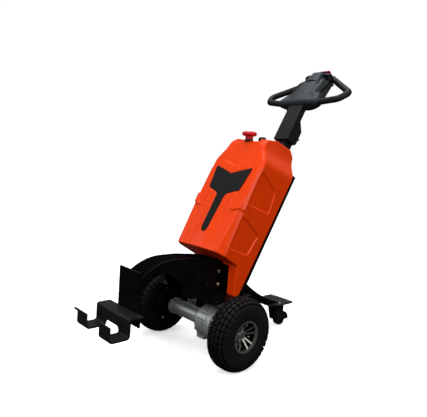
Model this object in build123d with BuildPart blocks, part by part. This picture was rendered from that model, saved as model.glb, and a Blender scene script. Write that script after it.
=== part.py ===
from build123d import *
from math import cos, radians, sin, sqrt, tan
import os

# A walk-behind battery tow tug: millimetres, +Z up, the hitch points along -Y,
# the floor is Z = 0 and the drive axle lies over Y = 0.

# Drive wheels
tyre_od = 270.0
tyre_width = 88.0
track = 466.0
rim_bead_r = 58.0
rim_wall = 5.0
rim_flange_r = 64.0
rim_flange_t = 5.0
rim_width = 74.0
bead_gap = 0.2
spoke_count = 5
spoke_width = 6.0
spoke_gap_deg = 26.0
spoke_depth = 9.0
spoke_out_inset = 8.0
hub_r = 19.0
hub_face_inset = 25.0
hub_length = 34.0
nut_r = 11.0
nut_h = 8.0
shaft_r = 12.0
shaft_clear = 0.1

# Body cover
lean_deg = 30.0
cover_rear_y = 111.0
cover_rear_z = 225.0
cover_depth = 226.0
cover_top_rise = 30.0
cover_wall = 4.0
cover_foot_u = 92.0
cover_back_n = 8.0
cover_half_foot = 117.0
cover_half_hip = 126.0
cover_half_shoulder = 134.0
cover_half_lobe = 95.0
cover_half_top = 88.0
cover_flare_deg = 5.0
hip_h = 250.0
shoulder_drop = 25.0
lobe_rise = 42.0
crown_rise = 67.0
shoulder_fall_deg = 15.0
shoulder_round = 46.0
edge_round = 12.0
skirt_y = 75.0
skirt_low_z = 227.0
skirt_flange = 38.0
waist_u = 556.0
waist_out = 34.0
waist_h = 73.5
nape_in = 18.0
nape_rise = 36.0
crown_in = 98.0
deck_half = 64.0
deck_drop = 9.0
mast_gap = 5.0
recess_depth = 4.0
recess_draft_deg = 35.0
clip_rise = 5.0
clip_low_u = 256.0
clip_high_u = 318.0
clip_back = 24.0
panel_round = 9.0
mast_slot_rise = 150.0

# Back plate and battery
back_sheet = 4.0
back_rear_n = -8.0
back_foot_u = 4.0
back_half = 118.0
battery_half = 88.0
battery_low_u = 170.0
battery_mast_gap = 6.0
battery_depth = 150.0

# Front gooseneck, plate and hitch
neck_half = 47.0
plate_half = 65.0
neck_sheet = 6.0
nose_y = -320.0
plate_sheet = 6.0
plate_low_z = 200.0
plate_high_z = 356.0
neck_nose_z = 318.0
neck_knee_y = -268.0
neck_knee_z = 358.0
neck_top_z = 384.0
neck_crown_y = -170.0
neck_flat_end_y = -100.0
strip_drop = 3.0
neck_rear_z = 356.0
arch_y = -215.0
arch_z = 237.0
arch_r = 97.0
plate_hole_r = 3.5
plate_hole_pitch = 22.0
plate_hole_mid_z = 288.0
plate_hole_inset = 8.0
hitch_half = 108.0
hitch_leg_half = 82.0
hitch_sheet = 6.0
hitch_bend = 9.0
hitch_top_z = 220.0
hitch_depth = 60.0
hitch_rear_drop = 48.0
hook_floor_z = 157.0
hook_reach = 67.0
hook_lip = 48.0
hook_tip_reach = 24.0
hook_tip_h = 6.0
hook_slot_half = 44.0
hook_slot_top_z = 177.0
hook_slot_round = 16.0

# Base pan and axle brackets
pan_sheet = 5.0
pan_top_z = 241.0
pan_skirt_gap = 2.0
pan_front_y = -104.0
wing_half = 172.0
wing_front_y = -72.0
wing_rear_y = 58.0
bracket_sheet = 6.0
bracket_half_y = 45.0
bracket_low_z = 88.0
bracket_waist_z = 183.0
bracket_top_front_y = 6.0

# Transaxle
tube_r = 37.0
tube_rib_h = 2.0
tube_rib_count = 20
tube_rib_w = 4.0
tube_near_x = 46.0
hub_disc_r = 76.0
hub_disc_t = 12.0
flange_r = 43.0
flange_t = 8.0
gear_ring_r = 57.0
gear_ring_t = 12.0
gear_lug_r = 8.0
gear_lug_count = 6
gear_body_r = 62.0
gear_body_end_x = 128.0
gear_nose_r = 50.0
gear_pad_t = 6.0
motor_house_r = 44.0
motor_house_t = 36.0
drain_half = 16.0
drain_y = -24.0
drain_low_z = 68.0
drain_plug_r = 10.0
drain_plug_h = 4.0
motor_r = 36.0
motor_y = 96.0
motor_z = 172.0
motor_far_x = -98.0
motor_near_x = 64.0
motor_cap_t = 26.0

# Rear arm and caster
arm_half = 40.0
arm_sheet = 5.0
arm_rear_y = 452.0
arm_high_u = 96.0
arm_mid_y = 300.0
arm_mid_z = 196.0
caster_plate_z = 127.0
caster_plate_t = 6.0
caster_plate_half = 68.0
caster_plate_front_half = 44.0
caster_plate_front_y = 386.0
caster_plate_knee_y = 440.0
caster_plate_rear_y = 534.0
caster_plate_round = 12.0
swivel_y = 484.0
swivel_plate_half = 42.0
swivel_plate_t = 4.0
swivel_race_r = 27.0
swivel_race_t = 8.0
swivel_gap = 1.0
swivel_pin_r = 6.0
caster_trail = 36.0
caster_wheel_r = 30.0
caster_wheel_w = 28.0
caster_wheel_edge = 5.0
caster_cheek = 5.0
caster_cheek_gap = 5.0
caster_hood_gap = 5.0
caster_hood_t = 4.0
caster_crown_t = 12.0
caster_axle_r = 5.0
caster_axle_clear = 0.1

# Mast, tiller and handle
mast_half = 24.0
mast_front_n = 44.0
mast_rear_n = -4.0
mast_foot = 70.0
pivot_u = 744.0
pivot_n = 6.0
pivot_r = 6.0
mast_head_r = 41.0
yoke_half = 39.0
yoke_sheet = 5.0
yoke_front_n = 57.0
yoke_low_u = 711.0
yoke_high_u = 892.0
yoke_rear_n = -9.0
yoke_step_u = 790.0
yoke_neck_u = 826.0
yoke_neck_n = 27.0
head_y = 527.0
head_z = 1040.0
head_tilt_deg = 35.0
head_end_s = 248.0
switch_half = 25.0
switch_low_s = 250.0
switch_low_n = -38.0
paddle_in_x = 30.0
paddle_out_x = 64.0
loop_r = 13.0
loop_corner_x = 218.0
loop_corner_s = 74.0
loop_knee_x = 192.0
loop_knee_s = 22.0
loop_corner_round = 26.0
loop_front_x = 104.0
loop_rear_x = 34.0
loop_rear_s = 244.0

# Controls
stop_y = 217.0
stop_head_r = 29.0
stop_head_h = 13.0
stop_stem_r = 13.0
stop_stem_h = 17.0
stop_collar_r = 17.0
stop_collar_h = 8.0
key_y = 262.0
key_x = 44.0
key_r = 13.0
key_h = 14.0
inlay_t = 1.5
inlay_pocket = 2.0

# Worked-out places
tyre_r = tyre_od / 2
axle_z = tyre_r
side_x = track / 2
lean = radians(lean_deg)
head_tilt = radians(head_tilt_deg)
shoulder_fall = radians(shoulder_fall_deg)
cover_flare = radians(cover_flare_deg)
x_axis = Vector(1, 0, 0)
up_lean = Vector(0, sin(lean), cos(lean))
front_lean = Vector(0, -cos(lean), sin(lean))
cover_foot = Vector(0, cover_rear_y, cover_rear_z)
head_foot = Vector(0, head_y, head_z)
tilt_along = Vector(0, cos(head_tilt), sin(head_tilt))
plate_front_y = nose_y - plate_sheet
hitch_front_y = plate_front_y - hitch_depth
lip_front_y = hitch_front_y - hook_reach
shoulder_plane = Plane(origin=cover_foot, x_dir=x_axis, z_dir=Vector(0, -cos(shoulder_fall), sin(shoulder_fall)))
pan_low_z = pan_top_z - pan_sheet
pan_half = cover_half_foot - skirt_flange - pan_skirt_gap
sheet_n = back_rear_n + back_sheet
back_top_u = waist_u
mast_low_u = waist_u - mast_foot
battery_high_u = mast_low_u - battery_mast_gap
waist_place = cover_foot + up_lean * waist_u + front_lean * cover_back_n
lobe_low_y = waist_place.Y + waist_out
lobe_low_z = waist_place.Z + waist_h
nape_y = lobe_low_y - nape_in
nape_z = lobe_low_z + nape_rise
crown_y = nape_y - crown_in
cover_top_z = nape_z + cover_top_rise
shoulder_h = waist_u - shoulder_drop
lobe_h = shoulder_h + lobe_rise
crown_h = lobe_h + crown_rise
clip_rear_n = cover_depth - clip_back
deck_z = cover_top_z - deck_drop
swivel_top_z = caster_plate_z - caster_plate_t
race_top_z = swivel_top_z - swivel_plate_t
caster_wheel_y = swivel_y + caster_trail
bracket_in_x = wing_half - bracket_sheet
tube_far_x = hub_disc_t - bracket_in_x
hook_tip_y = lip_front_y - hitch_sheet
head_end_y = head_y + switch_low_s * cos(head_tilt) - switch_low_n * sin(head_tilt)
middle_y = (hook_tip_y + head_end_y) / 2


def leaned(u, n):
    # A point of the centre plane, u along the lean and n towards the front of the rear plane
    place = cover_foot + up_lean * u + front_lean * n
    return (place.Y, place.Z)


def leaned_plane(n):
    # Looks at the front of the leaning body, local x along +X and local y along the lean
    return Plane(origin=cover_foot + front_lean * n, x_dir=x_axis, z_dir=front_lean)


def lean_section(u):
    # A section across the leaning body, local x along +X and local y towards the front
    return Plane(origin=cover_foot + up_lean * u, x_dir=x_axis, z_dir=x_axis.cross(front_lean))


def side_plane(side, inset):
    # Lies in the side wall of the leaning body, local x along the lean and local y across it
    foot = cover_foot + x_axis * side * (cover_half(0, 0) - inset)
    up = up_lean * cover_foot_u + x_axis * side * (cover_half(cover_foot_u, 0) - cover_half(0, 0))
    across = front_lean * cover_foot_u + x_axis * side * (cover_half(0, cover_foot_u) - cover_half(0, 0))
    return Plane(origin=foot, x_dir=up, z_dir=up.cross(across) * side)


def lean_y(z, n=0.0):
    # Y of the leaning plane at depth n, at height z
    return cover_rear_y + (z - cover_rear_z) * tan(lean) - n / cos(lean)


def head_plane(s):
    # A section across the tiller head, s along its tilt
    return Plane(origin=head_foot + tilt_along * s, x_dir=x_axis, z_dir=tilt_along)


def head_side(x):
    # A side view of the tiller head, local x along its tilt and local y square to it
    return Plane(origin=head_foot + x_axis * x, x_dir=tilt_along, z_dir=x_axis)


os.makedirs("parts", exist_ok=True)


def save(part, name):
    # The origin lies on the floor, midway between the hook's lips and the tiller head's end
    placed = part.moved(Location((0, -middle_y, 0)))
    placed.label = name
    export_step(placed, f"parts/{name}.step")


# Cover: its side profile across the width, cut to its outline, its front corners cut to a bevel
cover_outline = [
    # half width, height square to the shoulder line above the rear foot, at mid depth
    (cover_half_foot, 0), (cover_half_hip, hip_h), (cover_half_shoulder, shoulder_h),
    (cover_half_lobe, lobe_h), (cover_half_top, crown_h),
]
bevel_rows = [
    # distance along the lean, half width of the front face, how far behind the face the side begins
    (-60, 104, 36), (92, 108, 36), (300, 124, 22), (442, 128, 15),
    (490, 104, 12), (540, 82, 16), (700, 78, 16),
]
side_panels = [
    # corners of each recess on the side: distance along the lean, depth
    [(456, cover_depth - 21), (437, 75), (343, 57), (313, cover_depth - 27)],
    [(262, cover_depth - 30), (245, 57), (150, 69), (130, cover_depth - 41)],
]
shield_half = [
    # half of the recess on the front face: half width, distance along the lean
    (0, 460), (84, 486), (74, 548), (72, 700),
]
inlay_half = [
    # half of the inlay from its notch to the stem's foot: half width, distance along the lean, corner radius
    (0, 424, 0), (101, 456, 5), (86, 352, 12), (22, 330, 24), (17, 176, 4), (9, 160, 4), (0, 158, 0),
]
clip_half = [
    # half width, distance along the lean
    (78, 269), (118, clip_low_u + 6), (170, clip_low_u), (170, clip_high_u - 10), (120, clip_high_u),
    (114, 296), (100, 276),
]


# Bend radius at each of the roof's corners, from the front edge to the rear
roof_rounds = [10, 60, 14, 14]
below_in = 10.0
below_h = 230.0


def inlay_outline(grow):
    # The dark inlay's outline on the front face, larger all round by grow
    with BuildSketch(mode=Mode.PRIVATE) as outline:
        with BuildLine():
            Polyline(*[(x, u) for x, u, radius in inlay_half])
            mirror(about=Plane.YZ)
        make_face()
        for x, u, radius in inlay_half:
            if radius:
                for side in (-1, 1):
                    fillet(outline.vertices().sort_by_distance((side * x, u, 0))[0], radius)
        if grow:
            offset(amount=grow)
    add(outline.sketch)


def cover_half(u, n):
    # Half width of the side wall at a point of the leaning body
    y, z = leaned(u, n)
    height = (y - cover_rear_y) * sin(shoulder_fall) + (z - cover_rear_z) * cos(shoulder_fall)
    forward = (z - cover_rear_z) * sin(shoulder_fall) - (y - cover_rear_y) * cos(shoulder_fall)
    for (half, low), (next_half, high) in zip(cover_outline, cover_outline[1:]):
        if height < high:
            break
    return half + (next_half - half) * (height - low) / (high - low) + forward * tan(cover_flare)


def cover_form(inset):
    # The moulding's outside for inset 0, its hollow, open below and behind, for inset = wall
    hollow = inset > 0
    depth = cover_depth - inset
    top_z = cover_top_z - inset
    foot = leaned(cover_foot_u, depth)
    skirt_top = (skirt_y + inset, foot[1] - (skirt_y + inset - foot[0]) * tan(lean))
    open_n = back_rear_n - cover_wall
    roof = [
        (lean_y(top_z, depth), top_z), (crown_y, top_z), (nape_y - inset, nape_z - inset),
        (lobe_low_y - inset, lobe_low_z),
    ]
    below_z = skirt_low_z - cover_depth / 4
    if hollow:
        low_rear = (lean_y(below_z, open_n), below_z)
        profile = [
            leaned(0, depth), *roof, leaned(waist_u, cover_back_n + inset), leaned(waist_u - inset, open_n),
            low_rear, (skirt_y + inset, below_z), skirt_top,
        ]
    else:
        rear_low = leaned(0, cover_back_n)
        profile = [foot, *roof, leaned(waist_u, cover_back_n), rear_low, (skirt_y, skirt_low_z), skirt_top]
    with BuildPart() as form:
        with BuildSketch(Plane.YZ) as side_view:
            Polygon(*profile, align=None)
            for place, radius in zip(roof, roof_rounds):
                corner = side_view.vertices().sort_by_distance((place[0], place[1], 0))[0]
                fillet(corner, radius)
        extrude(amount=cover_half_shoulder + clip_rise, both=True)
        for forward in (-2 * cover_depth, 2 * cover_depth):
            grow = forward * tan(cover_flare) - inset
            rows = [(half + grow, height) for half, height in cover_outline]
            below = (rows[0][0] - below_in, -below_h)
            with BuildSketch(shoulder_plane.offset(forward)) as end_view:
                Polygon(below, *rows, *[(-x, h) for x, h in reversed(rows)], (-below[0], below[1]), align=None)
                for half, height in rows[2:4]:
                    for side in (-1, 1):
                        corner = end_view.vertices().sort_by_distance((side * half, height, 0))[0]
                        fillet(corner, shoulder_round)
        loft(mode=Mode.INTERSECT)
        for side in (-1, 1):
            for u, front_half, back in bevel_rows:
                side_n = cover_depth - back
                front = (front_half - inset / 2, depth)
                rear = (cover_half(u, side_n) - inset, side_n - inset / 2)
                run = (rear[0] - front[0], rear[1] - front[1])
                corners = [
                    (front[0] - run[0], front[1] - run[1]), (rear[0] + run[0], rear[1] + run[1]),
                    (rear[0] + run[0] + 60, front[1] - run[1]),
                ]
                with BuildSketch(lean_section(u)):
                    Polygon(*[(side * x, n) for x, n in corners], align=None)
            loft(ruled=True, mode=Mode.SUBTRACT)
        # Recesses: the inlay's pocket and the shield on the front face, two panels on each side
        with BuildSketch(leaned_plane(depth - recess_depth)):
            shield = [(half + inset, u - inset) for half, u in shield_half[1:]]
            notch = (0, shield_half[0][1] - inset)
            Polygon(notch, *shield, *[(-x, u) for x, u in reversed(shield)], align=None)
        extrude(amount=2 * recess_depth, taper=-recess_draft_deg, mode=Mode.SUBTRACT)
        with BuildSketch(leaned_plane(depth - inlay_pocket)):
            inlay_outline(inset)
        extrude(amount=2 * inlay_pocket, mode=Mode.SUBTRACT)
        for side in (-1, 1):
            for panel in side_panels:
                with BuildSketch(side_plane(side, inset + recess_depth)) as opening:
                    Polygon(*[(u, side * n) for u, n in panel], align=None)
                    fillet(opening.vertices(), panel_round)
                    if inset:
                        offset(amount=inset)
                extrude(amount=2 * recess_depth, taper=-recess_draft_deg, mode=Mode.SUBTRACT)
        # The valley between the two lobes: the deck for the controls, then the slot for the mast
        with BuildSketch(Plane.XY.offset(top_z - deck_drop)):
            with Locations((0, (crown_y + nape_y) / 2)):
                Rectangle(2 * (deck_half + inset), 2 * cover_depth)
        extrude(amount=2 * deck_drop, mode=Mode.SUBTRACT)
        with BuildSketch(leaned_plane(mast_front_n + mast_gap + inset)):
            with Locations((0, waist_u - cover_wall + mast_slot_rise)):
                Rectangle(2 * (mast_half + mast_gap + inset), 2 * mast_slot_rise)
        extrude(amount=-2 * cover_depth, mode=Mode.SUBTRACT)
    return form.part


with BuildPart() as cover_shell:
    add(cover_form(0))
    # A raised clip around each front corner
    with BuildPart(mode=Mode.PRIVATE) as clips:
        with BuildSketch(leaned_plane(clip_rear_n)):
            for side in (-1, 1):
                Polygon(*[(side * x, u) for x, u in clip_half], align=None)
        extrude(amount=cover_depth)
        add(cover_form(-clip_rise), mode=Mode.INTERSECT)
    add(clips.part)
    add(cover_form(cover_wall), mode=Mode.SUBTRACT)
    # The way in for the gooseneck, between the skirts' front flanges
    with BuildSketch(Plane.XZ.offset(-skirt_y + 1)):
        with Locations((0, skirt_low_z)):
            Rectangle(2 * (cover_half_foot - skirt_flange), 2 * (cover_rear_z - cover_foot_u))
    extrude(amount=-cover_wall - 2, mode=Mode.SUBTRACT)
save(cover_shell.part, "cover_shell")

with BuildPart() as cover_inlay:
    with BuildSketch(leaned_plane(cover_depth - inlay_pocket)):
        inlay_outline(0)
    extrude(amount=inlay_t)
save(cover_inlay.part, "cover_inlay")

# Emergency stop and key switch on the cover's top
for name, x, y, rows in (
    ("stop_collar", 0, stop_y, [(stop_collar_r, stop_collar_h)]),
    ("key_switch", key_x, key_y, [(key_r, key_h * 0.6), (key_r * 0.75, key_h * 0.4)]),
):
    with BuildPart() as control:
        level = deck_z
        for radius, height in rows:
            with BuildSketch(Plane.XY.offset(level)):
                with Locations((x, y)):
                    Circle(radius)
            extrude(amount=height)
            level += height
    save(control.part, name)

stop_base_z = deck_z + stop_collar_h
stop_head_z = stop_base_z + stop_stem_h
stop_rows = [
    # radius, height
    (0, stop_base_z), (stop_stem_r, stop_base_z), (stop_stem_r, stop_head_z - 3),
    (stop_head_r - 6, stop_head_z), (stop_head_r - 3, stop_head_z + 1), (stop_head_r, stop_head_z + 4),
    (stop_head_r, stop_head_z + stop_head_h - 5), (stop_head_r - 2, stop_head_z + stop_head_h - 2),
    (stop_head_r - 7, stop_head_z + stop_head_h), (0, stop_head_z + stop_head_h),
]
with BuildPart() as stop_button:
    with BuildSketch(Plane.YZ):
        Polygon(*[(stop_y + radius, z) for radius, z in stop_rows], align=None)
    revolve(axis=Axis((0, stop_y, 0), (0, 0, 1)))
save(stop_button.part, "stop_button")

# Back plate: a tray behind the cover, its flanges turned forward, open below, notched for the mast
back_length = back_top_u - back_foot_u
with BuildPart() as back_plate:
    with BuildSketch(leaned_plane(back_rear_n)):
        with Locations((0, back_foot_u + back_length / 2)):
            Rectangle(2 * back_half, back_length)
    extrude(amount=cover_back_n - back_rear_n)
    with BuildSketch(leaned_plane(sheet_n)):
        with Locations((0, back_top_u - back_sheet - back_length / 2)):
            Rectangle(2 * (back_half - back_sheet), back_length)
        with Locations((0, back_top_u)):
            Rectangle(2 * mast_half, 4 * back_sheet)
    extrude(amount=2 * cover_back_n - sheet_n, mode=Mode.SUBTRACT)
save(back_plate.part, "back_plate")

with BuildPart() as battery_block:
    with BuildSketch(leaned_plane(sheet_n)):
        with Locations((0, (battery_low_u + battery_high_u) / 2)):
            Rectangle(2 * battery_half, battery_high_u - battery_low_u)
    extrude(amount=battery_depth)
save(battery_block.part, "battery_block")


# Gooseneck: two cheeks that arch over, and a strip along their top
def neck_top_line(drop=0.0):
    # The upper edge from the nose to the back plate
    crown = (neck_crown_y, neck_top_z - drop)
    flat_end = (neck_flat_end_y, neck_top_z - drop)
    ThreePointArc((nose_y, neck_nose_z - drop), (neck_knee_y, neck_knee_z - drop), crown)
    Line(crown, flat_end)
    Line(flat_end, (lean_y(neck_rear_z - drop, sheet_n), neck_rear_z - drop))


for name, x_from in (("neck_cheek_near", neck_half - neck_sheet), ("neck_cheek_far", -neck_half)):
    with BuildPart() as cheek:
        with BuildSketch(Plane.YZ.offset(x_from)):
            with BuildLine():
                neck_top_line()
                Polyline(
                    (lean_y(neck_rear_z, sheet_n), neck_rear_z), (lean_y(pan_top_z, sheet_n), pan_top_z),
                    (pan_front_y, pan_top_z), (pan_front_y - 8, pan_top_z + 6), (pan_front_y - 12, arch_z),
                    (nose_y, arch_z), (nose_y, neck_nose_z),
                )
            make_face()
            with Locations((arch_y, arch_z)):
                Circle(arch_r, mode=Mode.SUBTRACT)
        extrude(amount=neck_sheet)
    save(cheek.part, name)

strip_low = strip_drop + neck_sheet
with BuildPart() as neck_strip:
    with BuildSketch(Plane.YZ.offset(neck_sheet - neck_half)):
        with BuildLine():
            neck_top_line(drop=strip_drop)
            neck_top_line(drop=strip_low)
            Line((nose_y, neck_nose_z - strip_drop), (nose_y, neck_nose_z - strip_low))
            Line(
                (lean_y(neck_rear_z - strip_drop, sheet_n), neck_rear_z - strip_drop),
                (lean_y(neck_rear_z - strip_low, sheet_n), neck_rear_z - strip_low),
            )
        make_face()
    extrude(amount=2 * (neck_half - neck_sheet))
save(neck_strip.part, "neck_strip")

plate_height = plate_high_z - plate_low_z
plate_mid_z = (plate_high_z + plate_low_z) / 2
with BuildPart() as front_plate:
    with BuildSketch(Plane.XZ.offset(-nose_y)):
        with Locations((0, plate_mid_z)):
            Rectangle(2 * plate_half, plate_height)
        hole_x = plate_half - plate_hole_inset
        with Locations((0, plate_hole_mid_z)):
            with GridLocations(2 * hole_x, plate_hole_pitch, 2, 6):
                Circle(plate_hole_r, mode=Mode.SUBTRACT)
    extrude(amount=plate_sheet)
save(front_plate.part, "front_plate")

# Hitch: a folded channel whose front wall runs down into two hooked prongs
with BuildPart() as hitch_hook:
    with BuildSketch(Plane.YZ.offset(-hitch_half)):
        with BuildLine():
            FilletPolyline(
                (plate_front_y, hitch_top_z - hitch_rear_drop), (plate_front_y, hitch_top_z),
                (hitch_front_y, hitch_top_z), (hitch_front_y, hook_floor_z),
                (lip_front_y, hook_floor_z), (lip_front_y, hook_floor_z + hook_lip), radius=hitch_bend,
            )
            offset(amount=hitch_sheet, side=Side.LEFT)
        make_face()
    extrude(amount=2 * hitch_half)
    # The rear leg is narrower than the rest
    with BuildSketch(Plane.XZ.offset(-plate_front_y - 1)):
        for side in (-1, 1):
            with Locations((side * (hitch_half + hitch_leg_half) / 2, hitch_top_z - hitch_sheet - hitch_rear_drop / 2)):
                Rectangle(hitch_half - hitch_leg_half, hitch_rear_drop)
    extrude(amount=hitch_sheet + 2, mode=Mode.SUBTRACT)
    # The slot between the prongs, open at the lip and round where it ends in the front wall
    slot_height = 2 * (hook_slot_top_z - hook_floor_z)
    with BuildSketch(Plane.XZ.offset(-hitch_front_y + 1)):
        with Locations((0, hook_floor_z)):
            RectangleRounded(2 * hook_slot_half, slot_height, hook_slot_round)
    extrude(amount=-2 * hitch_sheet, mode=Mode.SUBTRACT)
    with BuildSketch(Plane.XY.offset(hook_floor_z - hitch_sheet - 1)):
        with Locations((0, (hitch_front_y + lip_front_y) / 2 - hitch_sheet)):
            Rectangle(2 * hook_slot_half, hook_reach + 2 * hitch_sheet)
    extrude(amount=hook_lip + 3 * hitch_sheet, mode=Mode.SUBTRACT)
    # The far prong's tip, turned outwards
    with BuildSketch(Plane.XY.offset(hook_floor_z + hook_lip - hook_tip_h)):
        with Locations((-hitch_half - hook_tip_reach / 2 + 1, lip_front_y - hitch_sheet / 2)):
            Rectangle(hook_tip_reach + 2, hitch_sheet)
    extrude(amount=hook_tip_h)
save(hitch_hook.part, "hitch_hook")

# Base pan with a wing each side for the axle brackets
with BuildPart() as base_pan:
    with BuildSketch(Plane.XY.offset(pan_low_z)):
        pan_rear_y = lean_y(pan_low_z, sheet_n)
        with Locations((0, (pan_front_y + pan_rear_y) / 2)):
            Rectangle(2 * pan_half, pan_rear_y - pan_front_y)
        with Locations((0, (wing_front_y + wing_rear_y) / 2)):
            Rectangle(2 * wing_half, wing_rear_y - wing_front_y)
    extrude(amount=pan_sheet)
save(base_pan.part, "base_pan")

for name, x_from in (("axle_bracket_near", bracket_in_x), ("axle_bracket_far", -wing_half)):
    with BuildPart() as bracket:
        with BuildSketch(Plane.YZ.offset(x_from)):
            with BuildLine():
                Polyline(
                    (-bracket_half_y, bracket_low_z), (bracket_half_y, bracket_low_z),
                    (bracket_half_y, bracket_waist_z), (wing_rear_y - 6, pan_low_z),
                    (bracket_top_front_y, pan_low_z), (-bracket_half_y, bracket_waist_z),
                    (-bracket_half_y, bracket_low_z),
                )
            make_face()
            with Locations((0, axle_z)):
                Circle(shaft_r + shaft_clear, mode=Mode.SUBTRACT)
        extrude(amount=bracket_sheet)
        if name == "axle_bracket_far":
            with BuildSketch(Plane.YZ.offset(-bracket_in_x)):
                with Locations((0, axle_z)):
                    Circle(hub_disc_r)
                    Circle(shaft_r + shaft_clear, mode=Mode.SUBTRACT)
            extrude(amount=hub_disc_t)
    save(bracket.part, name)

# Transaxle: ribbed tube, gear casting and the motor behind them
with BuildPart() as axle_tube:
    with BuildSketch(Plane.YZ.offset(tube_far_x)):
        with Locations((0, axle_z)):
            Circle(tube_r)
    extrude(amount=tube_near_x - tube_far_x)
    with BuildSketch(Plane.YZ.offset(tube_far_x)):
        with Locations((0, axle_z)):
            with PolarLocations(tube_r, tube_rib_count):
                Rectangle(2 * tube_rib_h, tube_rib_w)
    extrude(amount=tube_near_x - tube_far_x)
    with BuildSketch(Plane.YZ.offset(tube_far_x)):
        with Locations((0, axle_z)):
            Circle(flange_r)
    extrude(amount=flange_t)
save(axle_tube.part, "axle_tube")

gear_rows = [
    # x from, x to, radius
    (tube_near_x, tube_near_x + gear_ring_t, gear_ring_r),
    (tube_near_x + gear_ring_t, gear_body_end_x, gear_body_r),
    (gear_body_end_x, bracket_in_x, gear_nose_r),
]
gear_body_x = tube_near_x + gear_ring_t
drain_x = gear_body_x + drain_half
gear_pads = [
    # raised pads on the body: x from, x to, turn from, turn to, in degrees forward of the top
    (gear_body_x - gear_ring_t / 2, gear_body_x + 2 * drain_half, 78, 104),
    (gear_body_x + drain_half, gear_body_end_x, 8, 62),
]
with BuildPart() as gear_case:
    for x_from, x_to, radius in gear_rows:
        with BuildSketch(Plane.YZ.offset(x_from)):
            with Locations((0, axle_z)):
                Circle(radius)
                if x_from == tube_near_x:
                    with PolarLocations(gear_ring_r - gear_lug_r / 2, gear_lug_count):
                        Circle(gear_lug_r)
        extrude(amount=x_to - x_from)
    for x_from, x_to, turn_from, turn_to in gear_pads:
        with BuildSketch(Plane.YZ.offset(x_from)):
            with BuildLine():
                middle = (0, axle_z)
                outer_r = gear_body_r + gear_pad_t
                turns = [radians(90 + turn) for turn in (turn_from, (turn_from + turn_to) / 2, turn_to)]
                rim_points = [(outer_r * cos(turn), axle_z + outer_r * sin(turn)) for turn in turns]
                Line(middle, rim_points[0])
                ThreePointArc(*rim_points)
                Line(rim_points[2], middle)
            make_face()
        extrude(amount=x_to - x_from)
    # The housing that carries the motor, and the drain boss with its plug
    with BuildSketch(Plane.YZ.offset(motor_near_x)):
        with Locations((motor_y, motor_z)):
            Circle(motor_house_r)
        Polygon(
            (0, axle_z - gear_ring_r), (motor_y, motor_z - motor_house_r), (motor_y, motor_z + motor_house_r),
            (0, axle_z + gear_ring_r), align=None,
        )
    extrude(amount=motor_house_t)
    with BuildSketch(Plane.XY.offset(drain_low_z)):
        with Locations((drain_x, drain_y)):
            Rectangle(2 * drain_half, 2 * drain_half)
    extrude(amount=axle_z - gear_ring_r / 2 - drain_low_z)
    with BuildSketch(Plane.XY.offset(drain_low_z)):
        with Locations((drain_x, drain_y)):
            Circle(drain_plug_r)
    extrude(amount=-drain_plug_h)
save(gear_case.part, "gear_case")

with BuildPart() as rear_motor:
    with BuildSketch(Plane.YZ.offset(motor_far_x)):
        with Locations((motor_y, motor_z)):
            Circle(motor_r)
    extrude(amount=motor_near_x - motor_far_x)
    add(gear_case.part, mode=Mode.SUBTRACT)
save(rear_motor.part, "rear_motor")

with BuildPart() as motor_cap:
    with BuildSketch(Plane.YZ.offset(motor_far_x - motor_cap_t)):
        with Locations((motor_y, motor_z)):
            Circle(motor_r + 2)
    extrude(amount=motor_cap_t)
save(motor_cap.part, "motor_cap")


# Wheels: tyre, rim with paired spokes, and the shaft that turns with it
def tyre_part(side):
    bead_half = rim_width / 2 - rim_flange_t
    rows = [
        # distance from the middle plane, radius
        (tyre_width * 0.16, tyre_r), (tyre_width * 0.34, tyre_r - 5), (tyre_width * 0.45, tyre_r - 15),
        (tyre_width * 0.5, tyre_r - 34), (tyre_width * 0.48, tyre_r - 52), (bead_half, rim_flange_r + 2),
        (bead_half, rim_bead_r + bead_gap),
    ]
    with BuildPart() as tyre:
        with BuildSketch(Plane.XZ):
            Polygon(*rows, *[(-x, radius) for x, radius in reversed(rows)], align=None)
        revolve(axis=Axis.X)
    return tyre.part.moved(Location((side * side_x, 0, axle_z)))


def rim_part(side):
    face_x = side_x + rim_width / 2
    inner_x = face_x - rim_width
    barrel_r = rim_bead_r - rim_wall
    hub_x = face_x - hub_face_inset
    barrel = [
        # section of the barrel and its two flanges
        (face_x, rim_flange_r), (face_x, barrel_r), (inner_x, barrel_r), (inner_x, rim_flange_r),
        (inner_x + rim_flange_t, rim_flange_r), (inner_x + rim_flange_t, rim_bead_r),
        (face_x - rim_flange_t, rim_bead_r), (face_x - rim_flange_t, rim_flange_r),
    ]
    spoke = [
        # section of a spoke, falling from the barrel to the hub
        (face_x - spoke_out_inset, barrel_r + 2), (hub_x + 2, hub_r - 2),
        (hub_x + 2 - spoke_depth, hub_r - 2), (face_x - spoke_out_inset - 1.5 * spoke_depth, barrel_r + 2),
    ]
    with BuildPart() as rim:
        with BuildSketch(Plane.XZ):
            Polygon(*barrel, align=None)
        revolve(axis=Axis.X)
        with BuildSketch(Plane.YZ.offset(hub_x - hub_length)):
            Circle(hub_r)
        extrude(amount=hub_length)
        for turn in range(spoke_count):
            for lean_turn in (-spoke_gap_deg / 2, spoke_gap_deg / 2):
                angle = turn * 360 / spoke_count + lean_turn
                with BuildSketch(Plane.XZ.rotated((angle, 0, 0))):
                    Polygon(*spoke, align=None)
                extrude(amount=spoke_width / 2, both=True)
        with BuildSketch(Plane.YZ.offset(hub_x)):
            RegularPolygon(nut_r, 6)
        extrude(amount=nut_h)
        with BuildSketch(Plane.YZ.offset(hub_x - hub_length)):
            Circle(shaft_r)
        extrude(amount=hub_length - 4, mode=Mode.SUBTRACT)
    placed = rim.part.moved(Location((0, 0, axle_z)))
    return placed if side > 0 else mirror(placed, about=Plane.YZ)


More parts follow.
